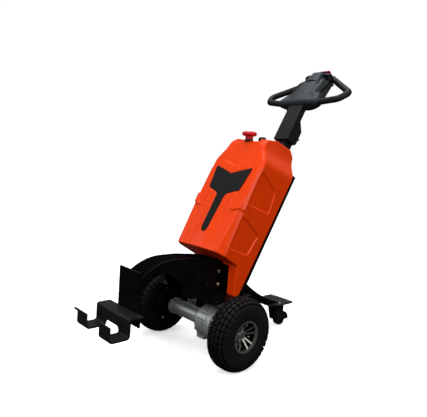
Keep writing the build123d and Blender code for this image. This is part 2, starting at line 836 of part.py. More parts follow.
for place, side in (("near", 1), ("far", -1)):
    save(tyre_part(side), f"tyre_{place}")
    save(rim_part(side), f"rim_{place}")
    shaft_in = bracket_in_x + 1
    shaft_out = side_x + rim_width / 2 - hub_face_inset - 4
    with BuildPart() as shaft:
        with BuildSketch(Plane.YZ.offset(side * shaft_in)):
            with Locations((0, axle_z)):
                Circle(shaft_r)
        extrude(amount=side * (shaft_out - shaft_in))
    save(shaft.part, f"wheel_shaft_{place}")

# Rear arm: two cheeks with a hollowed upper edge and the web below them
arm_top = leaned(arm_high_u, back_rear_n)
arm_low = leaned(back_foot_u, back_rear_n)
arm_web_high = leaned(back_foot_u + arm_sheet, back_rear_n)
arm_web_rear = (caster_plate_front_y + 8, caster_plate_z)
with BuildPart() as rear_arm:
    for x_from in (-arm_half, arm_half - arm_sheet):
        with BuildSketch(Plane.YZ.offset(x_from)):
            with BuildLine():
                ThreePointArc(arm_top, (arm_mid_y, arm_mid_z), (arm_rear_y, caster_plate_z + 4))
                Polyline((arm_rear_y, caster_plate_z + 4), (arm_rear_y, caster_plate_z), arm_web_rear, arm_low, arm_top)
            make_face()
        extrude(amount=arm_sheet)
    with BuildSketch(Plane.YZ.offset(-arm_half)):
        with BuildLine():
            Polyline(arm_low, arm_web_rear, (arm_web_rear[0] + 10, caster_plate_z), arm_web_high, arm_low)
        make_face()
    extrude(amount=2 * arm_half)
save(rear_arm.part, "rear_arm")

with BuildPart() as caster_deck:
    with BuildSketch(Plane.XY.offset(swivel_top_z)):
        right = [
            (caster_plate_front_half, caster_plate_front_y), (caster_plate_half, caster_plate_knee_y),
            (caster_plate_half, caster_plate_rear_y),
        ]
        outline = Polygon(*right, *[(-x, y) for x, y in reversed(right)], align=None)
        fillet(outline.vertices(), caster_plate_round)
    extrude(amount=caster_plate_t)
save(caster_deck.part, "caster_deck")

# Caster: fixed top plate with its pin, then the swivelling housing and its wheel
with BuildPart() as caster_top:
    with BuildSketch(Plane.XY.offset(race_top_z)):
        with Locations((0, swivel_y)):
            RectangleRounded(2 * swivel_plate_half, 1.5 * swivel_plate_half, 6)
    extrude(amount=swivel_plate_t)
    with BuildSketch(Plane.XY.offset(race_top_z - swivel_race_t)):
        with Locations((0, swivel_y)):
            Circle(swivel_pin_r)
    extrude(amount=swivel_race_t)
save(caster_top.part, "caster_top")

cheek_x = caster_wheel_w / 2 + caster_cheek_gap
hood_half = cheek_x + caster_cheek
housing_top_z = race_top_z - swivel_gap
crown_low_z = housing_top_z - caster_crown_t
hood_r = caster_wheel_r + caster_hood_gap + caster_hood_t
with BuildPart() as caster_housing:
    # A hood of one thickness over the wheel, cut off below, hung from the swivel's crown
    with BuildSketch(Plane.YZ.offset(-hood_half)):
        with Locations((caster_wheel_y, caster_wheel_r)):
            Circle(hood_r)
        Polygon(
            (swivel_y - swivel_race_r + 3, crown_low_z), (caster_wheel_y, crown_low_z),
            (caster_wheel_y, caster_wheel_r), (caster_wheel_y - hood_r, caster_wheel_r), align=None,
        )
        with Locations((caster_wheel_y, caster_wheel_r - hood_r)):
            Rectangle(4 * hood_r, 2 * hood_r, mode=Mode.SUBTRACT)
        with Locations((caster_wheel_y, crown_low_z + hood_r)):
            Rectangle(4 * hood_r, 2 * hood_r, mode=Mode.SUBTRACT)
    extrude(amount=2 * hood_half)
    with BuildSketch(Plane.YZ.offset(-cheek_x)):
        with Locations((caster_wheel_y, caster_wheel_r)):
            Circle(hood_r - caster_hood_t)
    extrude(amount=2 * cheek_x, mode=Mode.SUBTRACT)
    for x_from in (-hood_half, cheek_x):
        with BuildSketch(Plane.YZ.offset(x_from)):
            with Locations((caster_wheel_y, caster_wheel_r)):
                Circle(2 * caster_cheek)
        extrude(amount=caster_cheek)
    with BuildSketch(Plane.XY.offset(crown_low_z)):
        with Locations((0, swivel_y)):
            Circle(swivel_race_r)
            Circle(swivel_pin_r + caster_axle_clear, mode=Mode.SUBTRACT)
    extrude(amount=caster_crown_t)
    with BuildSketch(Plane.YZ.offset(-hood_half)):
        with Locations((caster_wheel_y, caster_wheel_r)):
            Circle(caster_axle_r)
    extrude(amount=2 * hood_half)
save(caster_housing.part, "caster_housing")

caster_rows = [
    # section of the caster wheel: distance from its middle plane, radius
    (caster_wheel_w / 2, caster_axle_r + caster_axle_clear),
    (caster_wheel_w / 2, caster_wheel_r - caster_wheel_edge),
    (caster_wheel_w / 2 - caster_wheel_edge / 3, caster_wheel_r - caster_wheel_edge / 3),
    (caster_wheel_w / 2 - caster_wheel_edge, caster_wheel_r),
]
with BuildPart() as caster_wheel:
    with BuildSketch(Plane.XZ):
        Polygon(*caster_rows, *[(-x, radius) for x, radius in reversed(caster_rows)], align=None)
    revolve(axis=Axis.X)
save(caster_wheel.part.moved(Location((0, caster_wheel_y, caster_wheel_r))), "caster_wheel")

# Mast: a square tube bolted to the back plate, its end rounded about the tiller's pivot
with BuildPart() as mast_tube:
    with BuildSketch(Plane.YZ.offset(-mast_half)):
        with BuildLine():
            low_front = leaned(mast_low_u, mast_front_n)
            high_front_u = pivot_u + sqrt(mast_head_r**2 - (mast_front_n - pivot_n) ** 2)
            high_rear_u = pivot_u + sqrt(mast_head_r**2 - (mast_rear_n - pivot_n) ** 2)
            arc_mid = (pivot_u + mast_head_r * cos(radians(40)), pivot_n + mast_head_r * sin(radians(40)))
            Line(leaned(mast_low_u, mast_rear_n), low_front)
            Line(low_front, leaned(high_front_u, mast_front_n))
            ThreePointArc(
                leaned(high_front_u, mast_front_n), leaned(*arc_mid), leaned(high_rear_u, mast_rear_n)
            )
            Line(leaned(high_rear_u, mast_rear_n), leaned(mast_low_u, mast_rear_n))
        make_face()
        with Locations(leaned(pivot_u, pivot_n)):
            Circle(pivot_r + shaft_clear, mode=Mode.SUBTRACT)
    extrude(amount=2 * mast_half)
save(mast_tube.part, "mast_tube")

# Tiller yoke: a channel open to the rear below, a closed tube above
with BuildPart() as tiller_yoke:
    with BuildSketch(Plane.YZ.offset(-yoke_half)):
        with BuildLine():
            Polyline(
                leaned(yoke_low_u, yoke_front_n), leaned(yoke_high_u, yoke_front_n),
                leaned(yoke_high_u, yoke_neck_n), leaned(yoke_neck_u, yoke_neck_n),
                leaned(yoke_step_u, yoke_rear_n), leaned(yoke_low_u + 14, yoke_rear_n),
                leaned(yoke_low_u, yoke_rear_n + 14), leaned(yoke_low_u, yoke_front_n),
            )
        make_face()
    extrude(amount=2 * yoke_half)
    with BuildSketch(Plane.YZ.offset(yoke_sheet - yoke_half)):
        with BuildLine():
            Polyline(
                leaned(yoke_low_u - 20, yoke_front_n - yoke_sheet), leaned(yoke_neck_u, yoke_front_n - yoke_sheet),
                leaned(yoke_neck_u, yoke_neck_n), leaned(yoke_step_u, yoke_rear_n - 30),
                leaned(yoke_low_u - 20, yoke_rear_n - 30), leaned(yoke_low_u - 20, yoke_front_n - yoke_sheet),
            )
        make_face()
    extrude(amount=2 * (yoke_half - yoke_sheet), mode=Mode.SUBTRACT)
save(tiller_yoke.part, "tiller_yoke")

with BuildPart() as pivot_bolt:
    with BuildSketch(Plane.YZ.offset(yoke_sheet - yoke_half)):
        with Locations(leaned(pivot_u, pivot_n)):
            Circle(pivot_r)
    extrude(amount=2 * (yoke_half - yoke_sheet))
save(pivot_bolt.part, "pivot_bolt")

# Handle loop: one bent tube, front bar under the head, rear bars meeting the head's end
loop_corners = [
    # x, distance along the tilt
    (-loop_rear_x, loop_rear_s), (-loop_corner_x, loop_corner_s), (-loop_knee_x, loop_knee_s), (-loop_front_x, 0),
    (loop_front_x, 0), (loop_knee_x, loop_knee_s), (loop_corner_x, loop_corner_s), (loop_rear_x, loop_rear_s),
]
loop_plane = Plane(origin=head_foot, x_dir=x_axis, z_dir=x_axis.cross(tilt_along))
with BuildPart() as handle_loop:
    with BuildLine(loop_plane) as loop_path:
        FilletPolyline(*loop_corners, radius=loop_corner_round)
    loop_wire = loop_path.wires()[0]
    with BuildSketch(Plane(origin=loop_wire @ 0, z_dir=loop_wire % 0)):
        Circle(loop_r)
    sweep(path=loop_wire)
save(handle_loop.part, "handle_loop")

# Tiller head: a moulded body lofted along the tilt, low and wide in front, high and narrow behind
head_rows = [
    # distance along the tilt, then half width and height of the bottom, the side and the top
    (-20, 60, -34, 102, -4, 94, 8),
    (0, 84, -36, 108, 0, 100, 17),
    (40, 82, -44, 94, 8, 72, 32),
    (90, 64, -48, 76, 18, 54, 46),
    (150, 50, -40, 56, 22, 40, 56),
    (215, 38, -34, 44, 16, 32, 54),
    (head_end_s, 30, -26, 36, 6, 25, 34),
]
with BuildPart() as tiller_head:
    for s, low_half, low, side_half, mid, top_half, high in head_rows:
        with BuildSketch(head_plane(s)):
            half = [(low_half, -low), (side_half, -mid), (top_half, -high)]
            Polygon(*half, *[(-x, y) for x, y in reversed(half)], align=None)
    loft(ruled=True)
    add(handle_loop.part, mode=Mode.SUBTRACT)
    add(tiller_yoke.part, mode=Mode.SUBTRACT)
save(tiller_head.part, "tiller_head")

# Thumb paddles on the head's sides, and the red switch around its end
paddle_outline = [
    # distance along the tilt, height
    (150, 42), (160, 54), (198, 48), (212, 32), (208, 14), (160, 16),
]
for name, x_from in (("thumb_paddle_near", paddle_in_x), ("thumb_paddle_far", -paddle_out_x)):
    with BuildPart() as paddle:
        with BuildSketch(head_side(x_from)) as outline:
            Polygon(*paddle_outline, align=None)
            fillet(outline.vertices(), 4)
        extrude(amount=paddle_out_x - paddle_in_x)
        add(tiller_head.part, mode=Mode.SUBTRACT)
    save(paddle.part, name)

switch_outline = [
    # distance along the tilt, height
    (244, 42), (250, 40), (257, 14), (256, -8), (switch_low_s, switch_low_n), (244, switch_low_n),
]
with BuildPart() as belly_switch:
    with BuildSketch(head_side(-switch_half)):
        Polygon(*switch_outline, align=None)
    extrude(amount=2 * switch_half)
    add(tiller_head.part, mode=Mode.SUBTRACT)
save(belly_switch.part, "belly_switch")
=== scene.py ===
import math

import bpy
import numpy as np
from mathutils import Matrix, Vector


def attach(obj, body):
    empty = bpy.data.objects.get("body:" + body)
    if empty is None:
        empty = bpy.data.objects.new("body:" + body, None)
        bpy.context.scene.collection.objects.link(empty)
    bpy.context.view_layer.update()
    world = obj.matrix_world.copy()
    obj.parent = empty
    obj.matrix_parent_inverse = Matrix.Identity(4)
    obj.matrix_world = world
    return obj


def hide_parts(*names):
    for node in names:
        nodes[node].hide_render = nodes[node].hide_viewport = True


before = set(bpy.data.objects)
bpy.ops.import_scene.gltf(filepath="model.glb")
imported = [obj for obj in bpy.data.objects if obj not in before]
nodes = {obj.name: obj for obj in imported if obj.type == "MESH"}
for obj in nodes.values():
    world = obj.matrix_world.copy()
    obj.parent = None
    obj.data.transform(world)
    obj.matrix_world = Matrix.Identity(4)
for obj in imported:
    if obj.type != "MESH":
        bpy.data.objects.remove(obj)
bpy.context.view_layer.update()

# Camera: place in metres, its right and back axes, focal length in pixels for a picture this wide
PHOTO_W = 427
CAMERA_AT = Vector((1.3176, -1.32589, 0.7413))
CAMERA_RIGHT = Vector((0.6732, 0.7357, 0.0740))
CAMERA_BACK = Vector((0.7291, -0.6772, 0.0994))
FOCAL_PX = 457.4

# The solids' own Y runs this far ahead of the frame's, in millimetres
MIDDLE_Y = 147.292
LEAN_S, LEAN_C = 0.5, math.cos(math.radians(30))
FOOT_Y, FOOT_Z = 111.0, 225.0
AXLE_Z = 135.0


def make_camera():
    data = bpy.data.cameras.new("camera")
    data.sensor_fit = "HORIZONTAL"
    data.sensor_width = 36.0
    data.lens = FOCAL_PX / PHOTO_W * 36.0
    data.clip_start = 0.05
    data.clip_end = 50.0
    camera = bpy.data.objects.new("camera", data)
    bpy.context.scene.collection.objects.link(camera)
    back = CAMERA_BACK.normalized()
    right = (CAMERA_RIGHT - back * CAMERA_RIGHT.dot(back)).normalized()
    up = back.cross(right)
    turn = Matrix((right, up, back)).transposed().to_4x4()
    camera.matrix_world = Matrix.Translation(CAMERA_AT) @ turn
    bpy.context.scene.camera = camera
    return camera


# Materials
def node(tree, kind, **values):
    made = tree.nodes.new(kind)
    for name, value in values.items():
        setattr(made, name, value)
    return made


def blank(name):
    material = bpy.data.materials.new(name)
    material.use_nodes = True
    tree = material.node_tree
    return material, tree, tree.nodes["Principled BSDF"]


def place_noise(tree, scale, detail=3.0, rough=0.5):
    # Noise laid out in the object's own metres
    coord = node(tree, "ShaderNodeTexCoord")
    noise = node(tree, "ShaderNodeTexNoise")
    noise.inputs["Scale"].default_value = scale
    noise.inputs["Detail"].default_value = detail
    noise.inputs["Roughness"].default_value = rough
    tree.links.new(coord.outputs["Object"], noise.inputs["Vector"])
    return noise


def ramp(tree, source, stops):
    # stops: position, colour or grey
    made = node(tree, "ShaderNodeValToRGB")
    band = made.color_ramp
    while len(band.elements) < len(stops):
        band.elements.new(0.5)
    for element, (place, colour) in zip(band.elements, stops):
        element.position = place
        element.color = (*colour, 1) if isinstance(colour, tuple) else (colour, colour, colour, 1)
    tree.links.new(source, made.inputs["Fac"])
    return made


# Colour patches, smudges in the gloss, and spots of dust and painted top light, per metre
PATCHES, SMUDGES, DUST_AND_TOP_LIGHT_SPOTS = 14.0, 42.0, 25.0


def finish_material(
    name, dark, light, rough, metallic=0.0, grain=900.0, bump=0.05,
    coat=0.0, coat_rough=0.2, specular=0.5, dust_and_top_light=None,
):
    # Colour drifts between dark and light over patches, roughness with it, and a fine grain gives the bump
    material, tree, shader = blank(name)
    patches = place_noise(tree, PATCHES, 4.0, 0.6)
    out = ramp(tree, patches.outputs["Fac"], [(0.3, dark), (0.7, light)]).outputs["Color"]
    if dust_and_top_light:
        # Dust and painted light lie in spots on what faces up, so the tops come out lighter
        geometry = node(tree, "ShaderNodeNewGeometry")
        split = node(tree, "ShaderNodeSeparateXYZ")
        tree.links.new(geometry.outputs["Normal"], split.inputs["Vector"])
        top = ramp(tree, split.outputs["Z"], [(0.5, 0.0), (1.0, 1.0)])
        spots = ramp(tree, place_noise(tree, DUST_AND_TOP_LIGHT_SPOTS, 6.0, 0.7).outputs["Fac"], [(0.4, 0.0), (0.8, 0.5)])
        both = node(tree, "ShaderNodeMath", operation="MULTIPLY")
        tree.links.new(top.outputs["Color"], both.inputs[0])
        tree.links.new(spots.outputs["Color"], both.inputs[1])
        mixed = node(tree, "ShaderNodeMix", data_type="RGBA")
        tree.links.new(both.outputs["Value"], mixed.inputs["Factor"])
        tree.links.new(out, mixed.inputs["A"])
        mixed.inputs["B"].default_value = (*dust_and_top_light, 1)
        out = mixed.outputs["Result"]
    tree.links.new(out, shader.inputs["Base Color"])
    smudge = place_noise(tree, SMUDGES, 5.0, 0.65)
    level = ramp(tree, smudge.outputs["Fac"], [(0.3, max(0.02, rough - 0.06)), (0.75, min(1.0, rough + 0.08))])
    tree.links.new(level.outputs["Color"], shader.inputs["Roughness"])
    fine = place_noise(tree, grain, 2.0, 0.5)
    lift = node(tree, "ShaderNodeBump")
    lift.inputs["Strength"].default_value = bump
    lift.inputs["Distance"].default_value = 0.001
    tree.links.new(fine.outputs["Fac"], lift.inputs["Height"])
    tree.links.new(lift.outputs["Normal"], shader.inputs["Normal"])
    shader.inputs["Metallic"].default_value = metallic
    shader.inputs["Specular IOR Level"].default_value = specular
    shader.inputs["Coat Weight"].default_value = coat
    shader.inputs["Coat Roughness"].default_value = coat_rough
    return material


orange = finish_material(
    "orange_plastic", (0.69, 0.040, 0.0002), (0.74, 0.045, 0.0004), 0.34,
    grain=1400, bump=0.012, coat=0.30, coat_rough=0.22, specular=0.03,
)
inlay_grey = finish_material(
    "inlay_plastic", (0.0095, 0.0100, 0.0098), (0.0125, 0.0130, 0.0128), 0.6,
    grain=1600, bump=0.05, specular=0.06,
)
head_plastic = finish_material(
    "head_plastic", (0.0100, 0.0160, 0.0200), (0.0125, 0.0190, 0.0235), 0.42,
    grain=1500, bump=0.015, specular=0.17,
)
# A neutral grey panel plastic, made darker than the head to paint the shade on the cheeks
cheek_panel_painted_shade = finish_material(
    "cheek_panel_painted_shade", (0.0038, 0.0043, 0.0042), (0.0055, 0.0062, 0.006), 0.55,
    grain=1500, bump=0.02, specular=0.05,
)
knob_plastic = finish_material(
    "knob_plastic", (0.003, 0.004, 0.0045), (0.005, 0.006, 0.0065), 0.42, grain=1500, bump=0.03, specular=0.22,
)
grip_rubber = finish_material(
    "grip_rubber", (0.005, 0.0062, 0.0066), (0.007, 0.0085, 0.009), 0.45, grain=1200, bump=0.03, specular=0.14,
)
red_plastic = finish_material(
    "red_plastic", (0.42, 0.003, 0.006), (0.52, 0.005, 0.010), 0.3,
    grain=1500, bump=0.01, coat=0.1, coat_rough=0.15, specular=0.2,
)
black_steel = finish_material(
    "black_steel", (0.0012, 0.0012, 0.0013), (0.0024, 0.0024, 0.0025), 0.34,
    grain=700, bump=0.02, specular=0.06,
)
mast_steel = finish_material(
    "mast_steel", (0.0060, 0.0068, 0.0065), (0.0085, 0.0095, 0.0092), 0.42, grain=900, bump=0.03, specular=0.12,
)
plate_steel = finish_material(
    "plate_steel", (0.010, 0.0098, 0.0093), (0.016, 0.0158, 0.0148), 0.4, grain=800, bump=0.03, specular=0.16,
)
matt_steel = finish_material(
    "matt_steel", (0.002, 0.002, 0.002), (0.0045, 0.0045, 0.0045), 0.5, grain=800, bump=0.2, specular=0.1,
)
casting = finish_material(
    "cast_alloy", (0.38, 0.398, 0.403), (0.46, 0.48, 0.486), 0.36, 0.6, grain=600, bump=0.025,
)
# Painted shade: a darker, duller copy of the black steel for the neck strip under the cover
strip_painted_shade = finish_material(
    "strip_steel_painted_shade", (0.0006, 0.0006, 0.0006), (0.0010, 0.0010, 0.0010), 0.6,
    grain=800, bump=0.02, specular=0.008,
)
zinc = finish_material("zinc", (0.42, 0.38, 0.28), (0.62, 0.57, 0.44), 0.34, 1.0, grain=900, bump=0.1)
steel = finish_material("turned_steel", (0.42, 0.42, 0.43), (0.58, 0.58, 0.60), 0.3, 1.0, grain=900, bump=0.1)
# The tyre's lighter spots on what faces up are partly dust, partly painted light on the tops
rubber = finish_material(
    "tyre_rubber", (0.0035, 0.0036, 0.0035), (0.0055, 0.0055, 0.0053), 0.62,
    grain=1100, bump=0.06, specular=0.12, dust_and_top_light=(0.028, 0.023, 0.018),
)
caster_rubber = finish_material(
    "caster_rubber", (0.004, 0.004, 0.0045), (0.010, 0.010, 0.011), 0.3, grain=600, bump=0.1, specular=0.2,
)

looks = {
    name: material
    for material, names in [
        (inlay_grey, "cover_inlay"),
        (knob_plastic, "stop_collar key_switch thumb_paddle_near thumb_paddle_far"),
        (red_plastic, "stop_button belly_switch"),
        (matt_steel, "battery_block rear_motor"),
        # The neck strip takes the painted shade copy of the black steel
        (strip_painted_shade, "neck_strip"),
        (casting, "gear_case axle_tube motor_cap caster_top"),
        (steel, "wheel_shaft_near wheel_shaft_far"),
        (zinc, "pivot_bolt"),
        (grip_rubber, "handle_loop"),
        (mast_steel, "mast_tube tiller_yoke hitch_hook"),
        (plate_steel, "caster_deck"),
        (head_plastic, "tiller_head"),
        (caster_rubber, "caster_wheel caster_housing"),
    ]
    for name in names.split()
}
for name, obj in nodes.items():
    material = looks.get(name, black_steel)
    if not obj.data.materials:
        obj.data.materials.append(material)
    for place in obj.material_slots:
        place.material = material


# Shapes
def piece(name, points, faces, material, body, swaps=(), normals=None):
    mesh = bpy.data.meshes.new(name)
    mesh.from_pydata(points, [], faces)
    mesh.materials.append(material)
    mesh.shade_smooth()
    if normals is not None:
        mesh.normals_split_custom_set_from_vertices(normals)
    obj = bpy.data.objects.new(name, mesh)
    bpy.context.scene.collection.objects.link(obj)
    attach(obj, body)
    if swaps:
        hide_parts(*swaps)
    return obj


def smooth_max(a, b, k):
    h = np.clip(0.5 + 0.5 * (a - b) / k, 0, 1)
    return b + (a - b) * h + k * h * (1 - h)


def smooth_min(a, b, k):
    return -smooth_max(-a, -b, k)


def step_up(value):
    t = np.clip(value, 0, 1)
    return t * t * (3 - 2 * t)


def polygon_distance(px, py, corners):
    # Distance to a closed outline, negative inside
    px, py = np.broadcast_arrays(px, py)
    best = np.full(px.shape, 1e12)
    sign = np.ones(px.shape)
    for (ax, ay), (bx, by) in zip(corners, list(corners[1:]) + [corners[0]]):
        ex, ey = bx - ax, by - ay
        wx, wy = px - ax, py - ay
        t = np.clip((wx * ex + wy * ey) / (ex * ex + ey * ey), 0, 1)
        best = np.minimum(best, (wx - ex * t) ** 2 + (wy - ey * t) ** 2)
        above, below, left = py >= ay, py < by, ex * wy > ey * wx
        sign = np.where((above & below & left) | (~above & ~below & ~left), -sign, sign)
    return sign * np.sqrt(best)


def rounded(corners, radii, count=7):
    # The outline with its corners turned into arcs
    out = []
    total = len(corners)
    for i, (corner, radius) in enumerate(zip(corners, radii)):
        here = np.array(corner, float)
        if not radius:
            out.append(tuple(here))
            continue
        back = np.array(corners[i - 1], float) - here
        on = np.array(corners[(i + 1) % total], float) - here
        back /= np.linalg.norm(back)
        on /= np.linalg.norm(on)
        half = math.acos(max(-1, min(1, float(back @ on)))) / 2
        reach = radius / math.tan(half)
        start, end = here + back * reach, here + on * reach
        for k in range(count):
            t = k / (count - 1)
            out.append(tuple((1 - t) ** 2 * start + 2 * t * (1 - t) * here + t * t * end))
    return out


def lookup(function, low, high, step=1.0):
    # A table of a two-way function, read back by straight interpolation
    a = np.arange(low[0], high[0] + step, step)
    b = np.arange(low[1], high[1] + step, step)
    values = function(a[:, None], b[None, :])

    def read(x, y):
        i = np.clip((x - low[0]) / step, 0, len(a) - 1.001)
        j = np.clip((y - low[1]) / step, 0, len(b) - 1.001)
        i, j = np.broadcast_arrays(i, j)
        i0, j0 = i.astype(int), j.astype(int)
        fi, fj = i - i0, j - j0
        return (
            values[i0, j0] * (1 - fi) * (1 - fj) + values[i0 + 1, j0] * fi * (1 - fj)
            + values[i0, j0 + 1] * (1 - fi) * fj + values[i0 + 1, j0 + 1] * fi * fj
        )
    return read


def softened(values, sigma):
    # A row of values blurred by a bell curve, sigma in samples
    reach = int(3 * sigma)
    bell = np.exp(-0.5 * (np.arange(-reach, reach + 1) / sigma) ** 2)
    return np.convolve(np.pad(values, reach, mode="edge"), bell / bell.sum(), "valid")


def sculpt(name, field, low, high, step, material, body, swaps=()):
    # Skins the zero level of a distance field, all in millimetres of the solids' own axes
    axes = [np.arange(low[k], high[k] + step, step) for k in range(3)]
    values = field(axes[0][:, None, None], axes[1][None, :, None], axes[2][None, None, :])
    cells = [count - 1 for count in values.shape]
    total = np.zeros((cells[0] * cells[1] * cells[2], 3))
    count = np.zeros(len(total))
    index = np.full(len(total), -1)

    def flat(cell):
        return (cell[:, 0] * cells[1] + cell[:, 1]) * cells[2] + cell[:, 2]

    crossings = []
    for axis in range(3):
        first, second = [k for k in range(3) if k != axis]
        before, after = [slice(None)] * 3, [slice(None)] * 3
        before[axis], after[axis] = slice(0, -1), slice(1, None)
        a, b = values[tuple(before)], values[tuple(after)]
        hit = np.argwhere((a < 0) != (b < 0))
        va, vb = a[tuple(hit.T)], b[tuple(hit.T)]
        place = hit.astype(float)
        place[:, axis] += va / (va - vb)
        keep = (hit[:, first] > 0) & (hit[:, second] > 0)
        keep &= (hit[:, first] < cells[first]) & (hit[:, second] < cells[second])
        hit, place, inside = hit[keep], place[keep], (va < 0)[keep]
        ring = []
        for d1, d2 in ((-1, -1), (0, -1), (0, 0), (-1, 0)):
            cell = hit.copy()
            cell[:, first] += d1
            cell[:, second] += d2
            cell = flat(cell)
            for k in range(3):
                total[:, k] += np.bincount(cell, place[:, k], len(total))
            count += np.bincount(cell, minlength=len(total))
            ring.append(cell)
        flip = inside if axis == 1 else ~inside
        crossings.append((np.stack(ring, 1), flip))
    used = np.flatnonzero(count)
    index[used] = np.arange(len(used))
    points = total[used] / count[used][:, None] * step + np.array([ax[0] for ax in axes])
    quads = []
    for ring, flip in crossings:
        ring = index[ring]
        ring[flip] = ring[flip][:, ::-1]
        quads.append(ring)
    quads = np.concatenate(quads)

    def slope(p):
        reach = 0.4
        out = np.empty(p.shape)
        for k in range(3):
            nudge = np.zeros(3)
            nudge[k] = reach
            ahead, behind = (p + nudge).T, (p - nudge).T
            out[:, k] = (field(*ahead) - field(*behind)) / (2 * reach)
        return out

    for _ in range(2):
        lean = slope(points)
        size = np.maximum((lean ** 2).sum(1), 0.2)
        move = (field(*points.T) / size)[:, None] * lean
        length = np.linalg.norm(move, axis=1, keepdims=True)
        points -= move * np.minimum(1, step * 0.5 / np.maximum(length, 1e-9))
    normals = slope(points)
    normals /= np.maximum(np.linalg.norm(normals, axis=1, keepdims=True), 1e-9)
    points[:, 1] -= MIDDLE_Y
    return piece(name, (points / 1000).tolist(), quads.tolist(), material, body, swaps, normals.tolist())


# Cover: the solids' own outlines, skinned with the moulding's soft corners
FALL_C, FALL_S = math.cos(math.radians(15)), math.sin(math.radians(15))
COVER_DEPTH = 226.0
FLARE = math.tan(math.radians(5.0))
cover_heights = np.arange(-200.0, 800.0, 1.0)
cover_halves = np.interp(cover_heights, [0, 250, 531, 588, 604, 652], [117, 126, 134, 99, 96, 90])
cover_halves = softened(cover_halves, 12)
cover_slopes = np.gradient(cover_halves)
bevel_rows = np.array([
    # distance along the lean, half width of the front face, how far behind the face the side begins
    (-60, 104, 36), (92, 108, 36), (300, 124, 22), (442, 128, 15), (490, 106, 10), (540, 90, 8), (700, 86, 8),
], float)


def cover_half(u, n):
    height = u * FALL_C + n * FALL_S
    return np.interp(height, cover_heights, cover_halves) + (n * FALL_C - u * FALL_S) * FLARE


cover_profile = rounded(
    # y, z: up the lean, over the top, down the back, and up again inside the foot
    [
        (-73.4, 437.7), (164.7, 850), (300, 850), (398, 820), (416, 784), (382, 710.5),
        (104, 229), (75, 227), (75, 352),
    ],
    [0, 0, 60, 26, 20, 14, 3, 3, 3],
)
lobe_profile = rounded(
    [(-219, 99), (214, 849), (318, 849), (412, 825), (434, 795), (408, 762), (432, 742), (432, 99)],
    [0, 62, 50, 22, 22, 22, 4, 0],
)
side_panels = [
    # corners of each recess on the side: distance along the lean, depth
    [(456, 205), (437, 75), (343, 57), (313, 199)],
    [(262, 196), (245, 57), (150, 69), (130, 185)],
]
shield = [(0, 460), (84, 486), (74, 548), (72, 700), (-72, 700), (-74, 548), (-84, 486)]
inlay_right = [(0, 424), (101, 456), (86, 352), (22, 330), (17, 176), (9, 160)]
inlay = rounded(inlay_right + [(-x, u) for x, u in inlay_right[:0:-1]], [0, 5, 12, 24, 4, 4, 4, 4, 24, 12, 5])
clip_outline = [(78, 268), (104, 266), (126, 276), (170, 282), (170, 318), (124, 320), (114, 298), (98, 277)]

profile_table = lookup(lambda y, z: polygon_distance(y, z, cover_profile), (-140, 180), (480, 900))
lobe_table = lookup(lambda y, z: polygon_distance(y, z, lobe_profile), (-140, 180), (480, 900))
panel_table = lookup(
    lambda u, n: sum(
        step_up(0.5 - polygon_distance(u, n, rounded(panel, [14] * 4)) / 6) for panel in side_panels
    ),
    (-60, -60), (760, 280),
)
shield_table = lookup(
    lambda x, u: step_up(0.5 - polygon_distance(x, u, rounded(shield, [14, 12, 12, 0, 0, 12, 12])) / 6),
    (-180, -60), (180, 760),
)
inlay_table = lookup(
    lambda x, u: step_up(1 - (polygon_distance(x, u, inlay) - 0.6) / 3.0), (-180, -60), (180, 760),
)
clip_table = lookup(
    lambda x, u: polygon_distance(x, u, rounded(clip_outline, [4, 10, 14, 0, 0, 10, 12, 16])),
    (-10, -60), (200, 760),
)


# How deep the recesses go, and how far the corner clips stand out
PANEL_DIP, SHIELD_DIP, INLAY_DIP, FACE_DIP, CLIP_RISE = 4.0, 4.0, 1.9, 3.5, 5
CLIP_FROM = 202
# The sunk deck, the mast's slot, the hollow below and its way in
COVER_TOP = 652
DECK_HALF, DECK_Z = 64, 841
LOBE_HALF = 76
SLOT_HALF, SLOT_DEPTH, SLOT_FOOT = 29, 49, 552
WALL, HOLLOW_Y, HOLLOW_Z = 4, 79, 346
WAY_HALF, WAY_Y = 79, 60


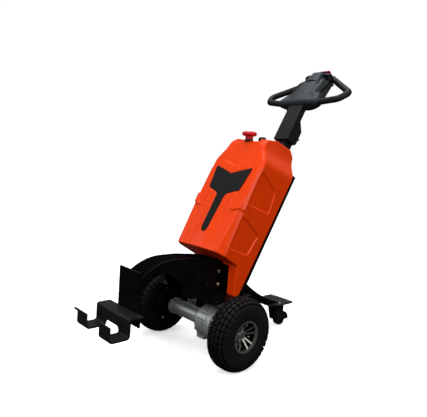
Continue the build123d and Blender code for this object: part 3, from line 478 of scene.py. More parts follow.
def cover_field(x, y, z):
    out = np.abs(x)
    u = (y - FOOT_Y) * LEAN_S + (z - FOOT_Z) * LEAN_C
    n = (z - FOOT_Z) * LEAN_S - (y - FOOT_Y) * LEAN_C
    height = u * FALL_C + n * FALL_S
    slope = np.interp(height, cover_heights, cover_slopes)
    half = cover_half(u, n)
    side = (out - half + PANEL_DIP * panel_table(u, n)) / np.sqrt(1 + slope ** 2)
    front_half = np.interp(u, bevel_rows[:, 0], bevel_rows[:, 1])
    back = np.interp(u, bevel_rows[:, 0], bevel_rows[:, 2])
    run = cover_half(u, COVER_DEPTH - back) - front_half
    bevel = ((out - front_half) * back + (n - COVER_DEPTH) * run) / np.hypot(back, run)
    # The front face sinks a little beside the stem, and more in its pockets
    low = step_up((330 - u) / 120) * step_up((u - 60) / 120)
    dip = FACE_DIP * low * step_up((out - 26) / 30) * step_up((front_half + 4 - out) / 26)
    pocket = SHIELD_DIP * shield_table(x, u) + INLAY_DIP * inlay_table(x, u)
    front = n - (COVER_DEPTH - dip - pocket)
    body = smooth_max(front, bevel, 7)
    body = smooth_max(body, side, 9)
    body = smooth_max(body, profile_table(y, z), 5)
    body = smooth_max(body, height - COVER_TOP, 8)
    # The lobes beside the deck have rounder tops than the middle
    body = smooth_max(body, lobe_table(y, z) - 40 * step_up((LOBE_HALF - out) / 16), 4)
    clip = smooth_max(body - CLIP_RISE, np.maximum(clip_table(out, u), CLIP_FROM - n), 3)
    body = smooth_min(body, clip, 3)
    deck = smooth_max(out - DECK_HALF, DECK_Z - z, 4)
    body = smooth_max(body, -deck, 5)
    slot = np.maximum(np.maximum(out - SLOT_HALF, n - SLOT_DEPTH), SLOT_FOOT - u)
    body = smooth_max(body, -slot, 2)
    hollow = np.maximum(np.maximum(out - half + WALL, HOLLOW_Y - y), z - HOLLOW_Z)
    way_in = np.maximum(np.maximum(out - WAY_HALF, WAY_Y - y), z - HOLLOW_Z)
    return smooth_max(body, -np.minimum(hollow, way_in), 1.5)


sculpt(
    "cover_moulding", cover_field, (-160, -60, 215), (160, 430, 860), 3.0, orange, "chassis", ["cover_shell"],
)


# Tiller head: a low slab with pads, a long dome over it, and a rolled front edge
HEAD_Y, HEAD_Z = 527.0, 1040.0
TILT_C, TILT_S = math.cos(math.radians(35)), math.sin(math.radians(35))
head_rows = np.array([
    # along the head, then half width and height of its foot, of its side and of its top edge,
    # top of the slab, half width and top of the dome
    (-60, 50, -30, 80, -4, 78, 6, 8, 50, 6),
    (-20, 60, -34, 102, -4, 98, 8, 12, 54, 12),
    (0, 84, -36, 106, 0, 102, 17, 18, 55, 24),
    (40, 82, -44, 96, 8, 84, 26, 22, 53, 34),
    (90, 64, -48, 78, 14, 62, 40, 26, 49, 45),
    (150, 50, -40, 58, 18, 44, 50, 34, 41, 58),
    (190, 43, -37, 50, 18, 38, 52, 38, 36, 64),
    (215, 38, -34, 45, 16, 34, 52, 40, 34, 62),
    (248, 30, -26, 37, 6, 27, 34, 36, 30, 52),
    (300, 24, -20, 30, 0, 24, 20, 20, 20, 20),
], float)
head_along = np.arange(-60.0, 301.0)
head_smooth = [softened(np.interp(head_along, head_rows[:, 0], head_rows[:, k]), 8) for k in range(1, 10)]
pad_table = lookup(
    lambda x, s: polygon_distance(x, s, rounded([(40, -24), (112, -24), (96, 50), (50, 50)], [0, 0, 3, 12])),
    (-10, -80), (130, 280), 0.5,
)
cheek_table = lookup(
    lambda x, s: polygon_distance(x, s, rounded([(46, 40), (94, 46), (82, 141), (42, 141)], [0, 6, 5, 0])),
    (-10, -80), (130, 280), 0.5,
)
slot_table = lookup(
    lambda x, s: polygon_distance(
        x, s, [(-36 + 68 * t, 121 + 7.5 * math.sin(math.pi * t)) for t in np.linspace(0, 1, 15)]
        + [(32 - 68 * t, 121 - 7.5 * math.sin(math.pi * t)) for t in np.linspace(0, 1, 15)][1:-1],
    ), (-130, -80), (130, 280), 0.5,
)


def head_field(x, y, z):
    s = (y - HEAD_Y) * TILT_C + (z - HEAD_Z) * TILT_S
    n = (z - HEAD_Z) * TILT_C - (y - HEAD_Y) * TILT_S
    foot_half, low, side_half, mid, top_half, high, slab, dome_half, dome_top = [
        np.interp(s, head_along, row) for row in head_smooth
    ]
    out = np.abs(x)
    above = side_half - (n - mid) * (side_half - top_half) / (high - mid)
    below = side_half - (mid - n) * (side_half - foot_half) / (mid - low)
    edge = out - np.where(n > mid, above, below)
    wide = smooth_max(edge * 0.85, low - n, 16)
    base = smooth_max(wide, n - slab - 0.12 * (70 - out).clip(0, 40) * step_up((s - 45) / 20), 8)
    dome = smooth_max(out - dome_half + 0.45 * (n - slab), n - dome_top + 0.0016 * out ** 2, 9)
    dome = smooth_max(smooth_max(dome, wide, 6), -n, 6)
    body = smooth_min(base, dome, 5)
    ends = smooth_max(-s - 20, s - 247, 2)
    body = smooth_max(body, ends, 16)
    cheek_top = np.interp(s, [40, 141], [25, 43]) - (out - 56) * 0.3
    cheek = smooth_max(smooth_max(cheek_table(out, s), n - cheek_top, 3), 4 - n + (out - 62) * 0.9, 4)
    body = smooth_min(body, cheek, 3)
    nose = np.sqrt((out - 90).clip(0) ** 2 + (s + 1) ** 2 + (n + 1) ** 2) - 19
    body = smooth_min(body, nose, 8)
    pad = smooth_max(np.maximum(body - 2.0, pad_table(out, s)), -n + 2, 2)
    body = smooth_min(body, pad, 0.8)
    slot = smooth_max(slot_table(x, s), dome_top - 6 - n, 2)
    return smooth_max(body, -slot, 1.2)


sculpt(
    "tiller_moulding", head_field, (-112, 436, 960), (112, 768, 1200), 2.5, head_plastic, "tiller",
    ["tiller_head"],
)


# A thin skin of the darker cheek plastic over each cheek: a grey panel with painted shade
def cheek_field(x, y, z):
    s = (y - HEAD_Y) * TILT_C + (z - HEAD_Z) * TILT_S
    n = (z - HEAD_Z) * TILT_C - (y - HEAD_Y) * TILT_S
    out = np.abs(x)
    inset = np.maximum(cheek_table(out, s) + 2.5, np.maximum(58 - out, 53 - s))
    skin = head_field(x, y, z)
    return smooth_max(smooth_max(skin - 0.8, -skin - 3, 0.5), smooth_max(inset, 14 - n, 1), 1)


sculpt("tiller_cheeks", cheek_field, (-112, 506, 1040), (112, 688, 1160), 2.0, cheek_panel_painted_shade, "tiller")


# Thumb paddles and the handle's rubber grip, in the tiller's own frame
paddle_line = rounded([(150, 40), (162, 53), (196, 48), (211, 32), (207, 14), (160, 16)], [6] * 6)
paddle_table = lookup(lambda s, n: polygon_distance(s, n, paddle_line), (120, -20), (240, 90), 0.5)


def paddle_field(x, y, z):
    s = (y - HEAD_Y) * TILT_C + (z - HEAD_Z) * TILT_S
    n = (z - HEAD_Z) * TILT_C - (y - HEAD_Y) * TILT_S
    out = np.abs(x)
    block = smooth_max(paddle_table(s, n) - 0.5, np.abs(out - 48) - 15, 7)
    ribs = np.abs((s - 160) / 6.0 - np.round((s - 160) / 6.0)) * 6.0 - 0.9
    return smooth_max(block, -np.maximum(np.maximum(ribs, 61.6 - out), -block - 1.2), 0.5)


for side, place in ((1, "near"), (-1, "far")):
    low, high = ((28, 640, 1110), (68, 720, 1210)) if side > 0 else ((-68, 640, 1110), (-28, 720, 1210))
    sculpt(f"paddle_{place}", paddle_field, low, high, 1.8, knob_plastic, "tiller", [f"thumb_paddle_{place}"])

loop_corners = [(-34, 244), (-218, 74), (-192, 22), (-104, 0), (104, 0), (192, 22), (218, 74), (34, 244)]
loop_line = rounded(loop_corners, [0, 30, 30, 30, 30, 30, 30, 0], 12)
LOOP_R = 14.2


def loop_tube():
    # Points at most 6 mm apart along the line, with a ring about each
    line = [np.array(loop_line[0])]
    for corner in loop_line[1:]:
        start, end = line[-1], np.array(corner)
        count = max(1, int(np.linalg.norm(end - start) / 6))
        line.extend(start + (end - start) * k / count for k in range(1, count + 1))
    line = np.array(line)
    ahead = np.gradient(line, axis=0)
    ahead /= np.linalg.norm(ahead, axis=1, keepdims=True)
    around = 32
    points, normals, faces = [], [], []
    for (x, s), (dx, ds) in zip(line, ahead):
        for k in range(around):
            turn = 2 * math.pi * k / around
            a, b = math.cos(turn), math.sin(turn)
            px, ps, pn = x - ds * a * LOOP_R, s + dx * a * LOOP_R, b * LOOP_R
            points.append((px, HEAD_Y + ps * TILT_C - pn * TILT_S, HEAD_Z + ps * TILT_S + pn * TILT_C))
            nx, ns, nn = -ds * a, dx * a, b
            normals.append((nx, ns * TILT_C - nn * TILT_S, ns * TILT_S + nn * TILT_C))
    for i in range(len(line) - 1):
        for k in range(around):
            m = (k + 1) % around
            faces.append((i * around + k, i * around + m, (i + 1) * around + m, (i + 1) * around + k))
    faces.append(tuple(range(around))[::-1])
    faces.append(tuple(range((len(line) - 1) * around, len(line) * around)))
    points = [(x / 1000, (y - MIDDLE_Y) / 1000, z / 1000) for x, y, z in points]
    return piece("loop_grip", points, faces, grip_rubber, "tiller", ["handle_loop"], normals)


loop_tube()


# Rims: bright on the ring and the spokes' front faces, black deeper in
def rim_material():
    material, tree, shader = blank("rim_dark_deeper_in")
    coord = node(tree, "ShaderNodeTexCoord")
    split = node(tree, "ShaderNodeSeparateXYZ")
    tree.links.new(coord.outputs["Object"], split.inputs["Vector"])

    def math_node(kind, a, b=0.0):
        made = node(tree, "ShaderNodeMath", operation=kind)
        for k, value in enumerate((a, b)):
            if isinstance(value, float):
                made.inputs[k].default_value = value
            else:
                tree.links.new(value, made.inputs[k])
        return made.outputs["Value"]

    out = math_node("ABSOLUTE", split.outputs["X"])
    depth = math_node("SUBTRACT", 0.270, out)
    along = math_node("ADD", split.outputs["Y"], MIDDLE_Y / 1000)
    high = math_node("SUBTRACT", split.outputs["Z"], AXLE_Z / 1000)
    squares = [math_node("MULTIPLY", value, value) for value in (along, high)]
    radius = math_node("SQRT", math_node("ADD", *squares))
    limit = node(tree, "ShaderNodeMapRange")
    tree.links.new(radius, limit.inputs["Value"])
    for name, value in (("From Min", 0.0165), ("From Max", 0.055), ("To Min", 0.0252), ("To Max", 0.0088)):
        limit.inputs[name].default_value = value
    inner = math_node("MULTIPLY", math_node("SUBTRACT", limit.outputs["Result"], depth), 1500.0)
    ring = math_node("MULTIPLY", math_node("SUBTRACT", radius, 0.0525), 2500.0)
    face = math_node("MINIMUM", ring, math_node("MULTIPLY", math_node("SUBTRACT", 0.006, depth), 2500.0))
    mask = node(tree, "ShaderNodeClamp")
    tree.links.new(math_node("ADD", math_node("MAXIMUM", inner, face), 0.5), mask.inputs["Value"])
    spots = place_noise(tree, 40.0, 4.0, 0.6)
    silver = ramp(tree, spots.outputs["Fac"], [(0.3, (0.46, 0.45, 0.42)), (0.7, (0.60, 0.59, 0.56))])
    mixed = node(tree, "ShaderNodeMix", data_type="RGBA")
    tree.links.new(mask.outputs["Result"], mixed.inputs["Factor"])
    mixed.inputs["A"].default_value = (0.0022, 0.0022, 0.0024, 1)
    ringed = node(tree, "ShaderNodeMix", data_type="RGBA")
    dull = node(tree, "ShaderNodeClamp")
    tree.links.new(math_node("ADD", face, 0.5), dull.inputs["Value"])
    tree.links.new(dull.outputs["Result"], ringed.inputs["Factor"])
    tree.links.new(silver.outputs["Color"], ringed.inputs["A"])
    ringed.inputs["B"].default_value = (0.085, 0.088, 0.078, 1)
    tree.links.new(ringed.outputs["Result"], mixed.inputs["B"])
    tree.links.new(mixed.outputs["Result"], shader.inputs["Base Color"])
    # The outer ring is dull, the spokes bright
    metal = math_node("SUBTRACT", mask.outputs["Result"], math_node("MULTIPLY", dull.outputs["Result"], 0.85))
    tree.links.new(metal, shader.inputs["Metallic"])
    smudge = place_noise(tree, 90.0, 5.0, 0.65)
    level = ramp(tree, smudge.outputs["Fac"], [(0.3, 0.28), (0.75, 0.38)])
    tree.links.new(level.outputs["Color"], shader.inputs["Roughness"])
    shader.inputs["Specular IOR Level"].default_value = 0.2
    return material


rim_look = rim_material()
for name in ("rim_near", "rim_far"):
    for place in nodes[name].material_slots:
        place.material = rim_look


# Tyres: a revolved carcass at the groove floor with rubber blocks standing on it
TYRE_X = 233.0
TREAD_R = 135.0
tyre_line = np.array(rounded(
    # across from the middle, radius: tread, shoulder, wall and the lip on the rim
    [
        (0, TREAD_R), (15, 134.6), (27, 131), (37, 122), (43.3, 108), (43.9, 94), (42, 79), (39.6, 66),
        (38.6, 61), (37.1, 60.2),
    ],
    [0, 16, 16, 16, 16, 18, 12, 8, 1, 0], 9,
))
tyre_run = np.concatenate([[0], np.cumsum(np.linalg.norm(np.diff(tyre_line, axis=0), axis=1))])
TREAD_END, CROWN_END = 76.0, 43.0
PITCH = 10.0
CROSS_CUT, BLOCK_RIM = 3.8, 1.1
tread_rows = [
    # from, to along the tyre's section, quarter pitches of offset, groove beside it
    (-9, 9, 2, 3.8), (9, 26, 0, 3.8), (26, CROWN_END, 0, 4.0), (CROWN_END, TREAD_END, 0, 4.0),
    (-26, -9, 0, 3.8), (-CROWN_END, -26, 0, 4.0), (-TREAD_END, -CROWN_END, 0, 4.0),
]


def section(w):
    # Place and outward direction at a distance along the section from the middle
    far = np.abs(w)
    ahead, behind = far + 2.5, np.maximum(far - 2.5, 0)
    a, r = [np.interp(far, tyre_run, column) for column in tyre_line.T]
    da, dr = [
        np.interp(ahead, tyre_run, column) - np.interp(behind, tyre_run, column) for column in tyre_line.T
    ]
    length = np.maximum(np.hypot(da, dr), 1e-9)
    side = np.where(w < 0, -1.0, 1.0)
    return side * a, r, side * -dr / length, da / length


def groove_depth(w):
    far = np.abs(w)
    return np.interp(far, [0, 43, 52, 66, TREAD_END], [5.0, 5.6, 5.4, 2.6, 0.0])


def tyre_points(w, turn, lift):
    a, r, na, nr = section(w)
    turn = np.radians(turn)
    a, r = a + na * lift, r + nr * lift
    points = np.stack([a, r * np.cos(turn), r * np.sin(turn)], -1)
    outs = np.stack([na + 0 * turn, nr * np.cos(turn), nr * np.sin(turn)], -1)
    return points, outs


def carcass(around=180):
    # A fine ring either side of the plain wall, then in to the bead and across under the rim's edge
    ws = np.concatenate([np.arange(0, 44, 4.0), np.arange(44, tyre_run[-1], 1.6), [tyre_run[-1]]])
    ws = np.concatenate([-ws[:0:-1], ws])
    ridges = 0.7 * np.exp(-((np.abs(ws) - 84) / 1.4) ** 2) + 0.9 * np.exp(-((np.abs(ws) - 105) / 1.8) ** 2)
    turns = np.radians(np.arange(around) * 360 / around)
    a, r, na, nr = section(ws)
    lift = ridges - groove_depth(ws)
    a, r = a + na * lift, r + nr * lift
    a = np.concatenate([[-31.9, -37.1], a, [37.1, 31.9]])
    r = np.concatenate([[58.4, 58.6], r, [58.6, 58.4]])
    in_groove = np.concatenate([[False] * 2, np.abs(ws) < 66, [False] * 2])
    da, dr = np.gradient(a), np.gradient(r)
    length = np.hypot(da, dr)
    na, nr = -dr / length, da / length
    points, normals, faces, deep = [], [], [], []
    for i in range(len(a)):
        points.extend((a[i], r[i] * math.cos(turn), r[i] * math.sin(turn)) for turn in turns)
        normals.extend((na[i], nr[i] * math.cos(turn), nr[i] * math.sin(turn)) for turn in turns)
        j = (i + 1) % len(a)
        for k in range(around):
            m = (k + 1) % around
            faces.append((i * around + k, i * around + m, j * around + m, j * around + k))
            deep.append(in_groove[i])
    return points, normals, faces, deep


def edged(start, end, rim, count):
    # Rows over a block: each edge twice for its wall, then its rim, then its top
    top = np.linspace(start + rim, end - rim, count - 4)[1:-1]
    return np.concatenate([[start, start, start + rim], top, [end - rim, end, end]])


def from_edge(rows):
    return np.minimum(np.arange(len(rows)), np.arange(len(rows))[::-1])


def tread_block(low, high, shift, gap, k):
    # A grid whose outer rings drop to the groove floor
    shoulder = abs(low) > 40
    w0, w1 = low + gap / 2, high - gap / 2
    if shoulder:
        w0, w1 = (w0, high) if low > 0 else (low, w1)
    start = k * PITCH + shift * PITCH / 4
    cut, rim = math.degrees(CROSS_CUT / TREAD_R), math.degrees(BLOCK_RIM / TREAD_R)
    t0, t1 = start + cut / 2, start + PITCH - cut / 2
    ws, ts = edged(w0, w1, BLOCK_RIM, 7 if high - low < 25 else 9), edged(t0, t1, rim, 7)
    w, turn = np.meshgrid(ws, ts, indexing="ij")
    level_w, level_t = np.meshgrid(from_edge(ws), from_edge(ts), indexing="ij")
    level = np.minimum(level_w, level_t)
    # The corners come in, so the blocks end in small rounds
    out_w, out_t = np.sign(w - (w0 + w1) / 2), np.sign(turn - (t0 + t1) / 2)
    corner = ((level_w <= 2) & (level_t <= 2)) * (3 - np.maximum(level_w, level_t)).clip(0, 2) / 2.0
    w = w - out_w * corner * 0.9
    turn = turn - out_t * corner * math.degrees(0.9 / TREAD_R)
    # The cross grooves bend a little
    bend = 0 if shoulder else 0.455
    turn = turn + bend * np.sin((w - low) / 17.0 * math.pi) + (np.abs(w) - CROWN_END).clip(0) * 0.012
    depth = groove_depth(w)
    lift = np.where(level == 0, -depth - 0.6, np.where(level == 1, -0.8, 0.0))
    lift = np.where(depth < 1.0, np.minimum(lift, 0.15 - 0.5 * (level < 2)), lift)
    places, outs = tyre_points(w, turn, lift)
    along_t = np.stack([0 * turn, -np.sin(np.radians(turn)), np.cos(np.radians(turn))], -1)
    along_w = np.cross(outs, along_t)
    probe, _ = tyre_points(w + 0.5, turn, lift)
    along_w *= np.sign((along_w * (probe - places)).sum(-1, keepdims=True))
    tilt_w = np.where(level_w <= 1, out_w, 0)[..., None]
    tilt_t = np.where(level_t <= 1, out_t, 0)[..., None]
    leans = np.where((level <= 1)[..., None], tilt_w * along_w + tilt_t * along_t, 0)
    normals = outs * np.where(level == 0, 0.25, 1.0)[..., None] + leans
    return places, normals / np.linalg.norm(normals, axis=-1, keepdims=True), level


def tyre_mesh():
    points, normals, faces, deep = carcass()
    for low, high, shift, gap in tread_rows:
        crown = max(abs(low), abs(high)) < TREAD_END
        for k in range(int(360 / PITCH)):
            places, outs, level = tread_block(low, high, shift, gap, k)
            first = len(points)
            points.extend(map(tuple, places.reshape(-1, 3)))
            normals.extend(map(tuple, outs.reshape(-1, 3)))
            nw, nt = level.shape
            for i in range(nw - 1):
                for j in range(nt - 1):
                    q = first + i * nt + j
                    faces.append((q, q + nt, q + nt + 1, q + 1))
                    deep.append(crown and level[i:i + 2, j:j + 2].min() == 0)
    points, normals, quads = np.array(points), np.array(normals), np.array(faces)
    # Faces turn to agree with their points' normals
    edge_a = points[quads[:, 1]] - points[quads[:, 0]]
    edge_b = points[quads[:, 2]] - points[quads[:, 0]]
    facing = (np.cross(edge_a, edge_b) * normals[quads].mean(1)).sum(1)
    quads[facing < 0] = quads[facing < 0][:, ::-1]
    return points, normals, quads, np.array(deep)


# Painted shade: a darker, duller rubber for the groove floors and the blocks' walls
groove_painted_shade = finish_material(
    "groove_painted_shade", (0.0008, 0.0008, 0.0008), (0.0014, 0.0014, 0.0013), 0.8,
    grain=1100, bump=0.03, specular=0.01,
)
tyre_pts, tyre_nrm, tyre_quads, tyre_deep = tyre_mesh()
for side, place in ((1, "near"), (-1, "far")):
    moved = tyre_pts * [side, 1, 1] + [side * TYRE_X, 0, AXLE_Z]
    moved[:, 1] -= MIDDLE_Y
    outward = tyre_nrm * [side, 1, 1]
    quads = tyre_quads if side > 0 else tyre_quads[:, ::-1]
    tyre = piece(
        f"tyre_tread_{place}", (moved / 1000).tolist(), quads.tolist(), rubber, f"wheel_{place}",
        [f"tyre_{place}"], outward.tolist(),
    )
    # Faces in the grooves take the painted shade
    tyre.data.materials.append(groove_painted_shade)
    tyre.data.polygons.foreach_set("material_index", tyre_deep.astype(np.int32))


# Transaxle: the tube with its ribs, and the gear casting with its ring, pads, motor seat and drain
def turned(rows, around, centre, name, material, body, swaps=(), ripple=None):
    # rows: x, radius; a closed solid of revolution about X, flat at both ends
    turns = np.arange(around) * 2 * math.pi / around
    points = []
    for x, radius in rows:
        r = radius + (ripple(turns) if ripple is not None else 0 * turns)
        points.extend(zip(np.full(around, x), centre[0] + r * np.cos(turns), centre[1] + r * np.sin(turns)))
    faces = []
    for i in range(len(rows) - 1):
        for k in range(around):
            m = (k + 1) % around
            faces.append((i * around + k, i * around + m, (i + 1) * around + m, (i + 1) * around + k))
    faces.append(tuple(range(around))[::-1])
    faces.append(tuple(range((len(rows) - 1) * around, len(rows) * around)))
    points = [(x / 1000, (y - MIDDLE_Y) / 1000, z / 1000) for x, y, z in points]
    obj = piece(name, points, faces, material, body, swaps)
    obj.data.set_sharp_from_angle(angle=math.radians(32))
    return obj


def tube_ribs(turns):
    # Fine grooves over the top and under the bottom, plain bands front and rear
    degrees = np.degrees(turns) % 180
    near_pole = np.abs(degrees - 90) < 52
    groove = ((np.cos(np.radians(degrees * 24)) - 0.3) / 0.5).clip(0, 1)
    return np.where(near_pole, 1.2 - 3.4 * groove, 0.9)


turned(
    [
        (-154, 28), (-144, 28), (-143.5, 34), (-143, 34.8), (-137.5, 34.8), (-137, 34), (-136.5, 28),
        (-135, 26.8), (47, 26.8),
    ],
    240, (0, AXLE_Z), "tube_ribbed", casting, "chassis", ["axle_tube"],
)
turned(
    [(-137.2, 29.2), (-136, 29.6), (46.5, 29.6), (47, 29.2)],
    720, (0, AXLE_Z), "tube_ribs", casting, "chassis", (), tube_ribs,
)


def gear_field(x, y, z):
    r = np.hypot(y, z - 135.0)
    turn = np.degrees(np.arctan2(-y, z - 135.0))
    ring = smooth_max(r - 55, np.abs(x - 51.5) - 5.5, 1.5)
    lugs = 1e3
    for k in range(6):
        around = math.radians(60 * k + 30)
        lug = np.hypot(y - 52 * math.cos(around), z - 135 - 52 * math.sin(around)) - 8
        lugs = np.minimum(lugs, smooth_max(lug, np.abs(x - 51.5) - 5.5, 1.5))
    body = smooth_max(r - 61, np.abs(x - 92) - 38, 3)
    nose = smooth_max(r - 50, np.abs(x - 125) - 40.5, 2)
    seam = np.abs(x - 96.0) - 0.7
    body = smooth_max(body, -np.maximum(seam, 60.2 - r), 0.5)
    case = smooth_min(smooth_min(body, nose, 4), smooth_min(ring, lugs, 3), 2)
    low_pad = smooth_max(smooth_max(r - 66.5, np.abs(x - 88) - 24, 2.5), (np.abs(turn - 59) - 10) * 1.1, 2.5)
    high_pad = smooth_max(smooth_max(r - 67, np.abs(x - 117) - 20, 2.5), (np.abs(turn - 20) - 26) * 1.1, 2.5)
    bar = smooth_max(smooth_max(r - 64.5, np.abs(x - 76) - 14, 2), (np.abs(turn - 26) - 16) * 1.1, 2)
    case = smooth_min(case, smooth_min(smooth_min(low_pad, high_pad, 1), bar, 1), 1.2)
    seat_r = np.hypot(y - 88, z - 160.0)
    seat = smooth_max(seat_r - 52, np.abs(x - 82) - 18, 2)
    t = np.clip((y * 88 + (z - 135) * 25) / (88 ** 2 + 25 ** 2), 0, 1)
    neck = np.hypot(y - 88 * t, z - 135 - 25 * t) - (58 - 6 * t)
    neck = smooth_max(neck, np.abs(x - 82) - 16, 2)
    case = smooth_min(case, smooth_min(seat, neck, 2), 5)
    drain = smooth_max(smooth_max(np.abs(x - 65.5) - 21.5, np.abs(y + 18) - 18, 3), np.abs(z - 88) - 18, 2)
    case = smooth_min(case, drain, 4)
    return case


sculpt("gear_casting", gear_field, (40, -78, 62), (170, 148, 224), 2.5, casting, "chassis", ["gear_case"])


def rounded_bar(name, x_from, x_to, y, z, radius, material, body, swaps=(), around=64):
    rows = [(x_from, radius - 2), (x_from + 0.6, radius - 0.8), (x_from + 2, radius)]
    rows += [(x_to - 2, radius), (x_to - 0.6, radius - 0.8), (x_to, radius - 2)]
    return turned(rows, around, (y, z), name, material, body, swaps)


rounded_bar("motor_can", -66, 64, 88, 160, 43, matt_steel, "chassis", ["rear_motor"])
turned(
    [(-122, 34), (-120.5, 41), (-117, 44.5), (-67, 44.5), (-65.5, 44), (-65, 43), (-64, 42)], 96, (88, 160),
    "motor_end", casting, "chassis", ["motor_cap"],
)

# Fasteners: hexagon heads on washers, one mesh for each list of them, on one body with one finish
def on_axle_ring(radius, degrees):
    # Y and Z of a point on a circle round the axle
    turn = math.radians(degrees)
    return radius * math.cos(turn), AXLE_Z + radius * math.sin(turn)


def bolts(name, rows, material, body):
    points, faces = [], []
    for place, axis, radius, height in rows:
        axis = Vector(axis).normalized()
        side = axis.orthogonal().normalized()
        up = axis.cross(side)
        stack = [
            # radius, height, points round
            (radius * 1.45, -0.5, 24), (radius * 1.45, height * 0.22, 24), (radius * 1.38, height * 0.28, 24),
            (radius, height * 0.28, 6), (radius, height * 0.85, 6), (radius * 0.86, height, 6),
        ]
        rings = []
        for size, lift, corners in stack:
            ring = []
            for k in range(24):
                turn = math.radians(15 * k)
                reach = size
                if corners == 6:
                    reach = size * math.cos(math.radians(30)) / math.cos(math.radians((15 * k) % 60 - 30))
                place_at = Vector(place) + axis * lift + (side * math.cos(turn) + up * math.sin(turn)) * reach
                ring.append(len(points))
                points.append((place_at.x / 1000, (place_at.y - MIDDLE_Y) / 1000, place_at.z / 1000))
            rings.append(ring)
        for low, high in zip(rings, rings[1:]):
            for k in range(24):
                faces.append((low[k], low[(k + 1) % 24], high[(k + 1) % 24], high[k]))
        faces.append(tuple(rings[-1]))
        faces.append(tuple(rings[0][::-1]))
    obj = piece(name, points, faces, material, body)
    obj.data.set_sharp_from_angle(angle=math.radians(25))
    return obj


ring_bolts = []
for k in range(6):
    around = math.radians(60 * k + 30)
    ring_bolts.append(((46, 52 * math.cos(around), 135 + 52 * math.sin(around)), (-1, 0, 0), 3.6, 4))
bolts("ring_bolts", ring_bolts, zinc, "chassis")
bolts("deck_bolts", [((x, y, 127), (0, 0, 1), 4.5, 5) for x in (-48, 48) for y in (455, 520)], zinc, "chassis")
bolts("cheek_bolts", [((47, 57, 317), (1, 0, 0), 5.5, 6), ((47, 55, 266), (1, 0, 0), 5.5, 6)], zinc, "chassis")
bolts("cheek_screws", [
    ((47, -50, 315), (1, 0, 0), 2.2, 3), ((47, 0, 274), (1, 0, 0), 2.2, 3), ((47, -78, 270), (1, 0, 0), 2.2, 3),
], plate_steel, "chassis")
bolts("plug", [((66, -17, 70.5), (0, 0, -1), 9, 6)], zinc, "chassis")
bolts("disc_bolts", [
    ((-154, *on_axle_ring(69, 60 * k + 41.5)), (1, 0, 0), 3.5, 4) for k in (0, 1, 2, 4, 5)
], black_steel, "chassis")
bolts("disc_bolt_bare", [((-154, -52, 89), (1, 0, 0), 4.2, 4)], zinc, "chassis")
bolts("yoke_bolt", [((34, 500, 871), (1, 0, 0), 4, 5)], zinc, "tiller")
for side, place in ((1, "near"), (-1, "far")):
    rows = [((side * 245, *on_axle_ring(40, a)), (side, 0, 0), 3.4, 4) for a in (-21, 51, 123, 195, 267)]
    bolts(f"rim_bolts_{place}", rows, zinc, f"wheel_{place}")


# The stop button's mushroom and the key's domed knob, turned about the vertical
def turned_up(rows, centre, name, material, swaps):
    # rows: height, radius
    obj = turned(rows, 64, (0, 0), name, material, "chassis", swaps)
    x, y = centre
    for vertex in obj.data.vertices:
        height, across, along = vertex.co.x, vertex.co.y + MIDDLE_Y / 1000, vertex.co.z
        vertex.co = (x / 1000 + across, (y - MIDDLE_Y) / 1000 + along, height)
    return obj


turned_up(
    [
        (849, 16), (861, 16.2), (861.5, 24), (863, 27.5), (866, 30), (870, 31), (874, 30), (877.5, 27.5),
        (879.6, 23), (880, 12),
    ],
    (0, 217), "stop_mushroom", red_plastic, ["stop_button"],
)
turned_up(
    [(841, 16), (853, 16), (856, 15.2), (858.5, 13), (860, 9), (860.5, 4)],
    (44, 250), "key_knob", knob_plastic, ["key_switch"],
)


# The sheet that closes the underside between the pan and the rear arm
BELLY_X, BELLY_Y, BELLY_Z = (-108, 108), (98, 192), (213, 216)
belly_points = [
    (x / 1000, (y - MIDDLE_Y) / 1000, z / 1000) for z in BELLY_Z for y in BELLY_Y for x in BELLY_X
]
belly_faces = [(0, 2, 3, 1), (4, 5, 7, 6), (0, 1, 5, 4), (2, 6, 7, 3), (0, 4, 6, 2), (1, 3, 7, 5)]
belly = piece("belly_sheet", belly_points, belly_faces, black_steel, "chassis")
belly.data.set_sharp_from_angle(angle=math.radians(30))

# The plain solids that stay get softened edges
for name, obj in nodes.items():
    if obj.hide_render or name.startswith("rim"):
        continue
    soft = obj.modifiers.new("soft_edges", "BEVEL")
    soft.width = 0.003 if name in ("mast_tube", "tiller_yoke") else 0.0009
    soft.segments = 3
    soft.limit_method = "ANGLE"
    soft.angle_limit = math.radians(35)
    soft.harden_normals = True
    soft.use_clamp_overlap = True


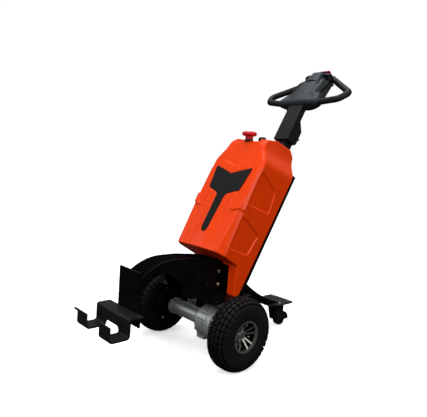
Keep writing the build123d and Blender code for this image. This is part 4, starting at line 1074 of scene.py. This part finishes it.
# Studio: white floor, white surround seen by the camera only, soft lamps
floor_mesh = bpy.data.meshes.new("floor")
floor_mesh.from_pydata([(-30, -30, 0), (30, -30, 0), (30, 30, 0), (-30, 30, 0)], [], [(0, 1, 2, 3)])
floor = bpy.data.objects.new("floor", floor_mesh)
bpy.context.scene.collection.objects.link(floor)
floor_look, _, floor_shader = blank("studio_floor")
floor_shader.inputs["Base Color"].default_value = (0.9, 0.9, 0.9, 1)
floor_shader.inputs["Roughness"].default_value = 1.0
floor_shader.inputs["Specular IOR Level"].default_value = 0.0
floor_shader.inputs["Emission Color"].default_value = (1, 1, 1, 1)
floor_shader.inputs["Emission Strength"].default_value = 0.55
floor_mesh.materials.append(floor_look)
floor.visible_diffuse = False
floor.visible_glossy = False

world = bpy.data.worlds.new("studio")
bpy.context.scene.world = world
world.use_nodes = True
sky = world.node_tree
background = sky.nodes["Background"]
coord = node(sky, "ShaderNodeTexCoord")
split = node(sky, "ShaderNodeSeparateXYZ")
sky.links.new(coord.outputs["Generated"], split.inputs["Vector"])
shade = ramp(sky, split.outputs["Z"], [(0.0, 0.03), (0.2, 0.2), (1.0, 0.75)])
path = node(sky, "ShaderNodeLightPath")
mixed = node(sky, "ShaderNodeMix", data_type="RGBA")
sky.links.new(path.outputs["Is Camera Ray"], mixed.inputs["Factor"])
sky.links.new(shade.outputs["Color"], mixed.inputs["A"])
mixed.inputs["B"].default_value = (1, 1, 1, 1)
sky.links.new(mixed.outputs["Result"], background.inputs["Color"])
background.inputs["Strength"].default_value = 1.0

lamp_rows = [
    # name, place, aimed at, width, height, watts
    ("key", (1.4, -3.3, 2.5), (0, 0, 0.5), 2.0, 2.0, 62),
    ("top", (-0.3, 0.2, 3.2), (0, 0, 0.4), 2.4, 2.4, 55),
    ("side", (3.1, 0.6, 1.2), (0, 0, 0.5), 1.0, 1.4, 18),
    ("bevel", (2.85, -0.36, 1.9), (0, 0, 0.6), 0.6, 1.1, 16),
    ("low", (0.5, -3.4, 0.55), (0, 0, 0.25), 1.6, 0.7, 14),
    ("crown", (1.35, -1.45, 2.95), (0, 0, 0.7), 1.2, 0.8, 13),
    ("left", (-2.8, -2.2, 1.4), (0, 0, 0.5), 1.0, 2.0, 10),
]
for name, place, target, width, height, watts in lamp_rows:
    lamp_data = bpy.data.lights.new(name, "AREA")
    lamp_data.shape = "RECTANGLE"
    lamp_data.size = width
    lamp_data.size_y = height
    lamp_data.energy = watts
    lamp = bpy.data.objects.new(name, lamp_data)
    bpy.context.scene.collection.objects.link(lamp)
    lamp.location = place
    lamp.rotation_euler = (Vector(target) - Vector(place)).to_track_quat("-Z", "Y").to_euler()

make_camera()

bpy.context.scene.view_settings.view_transform = "Standard"
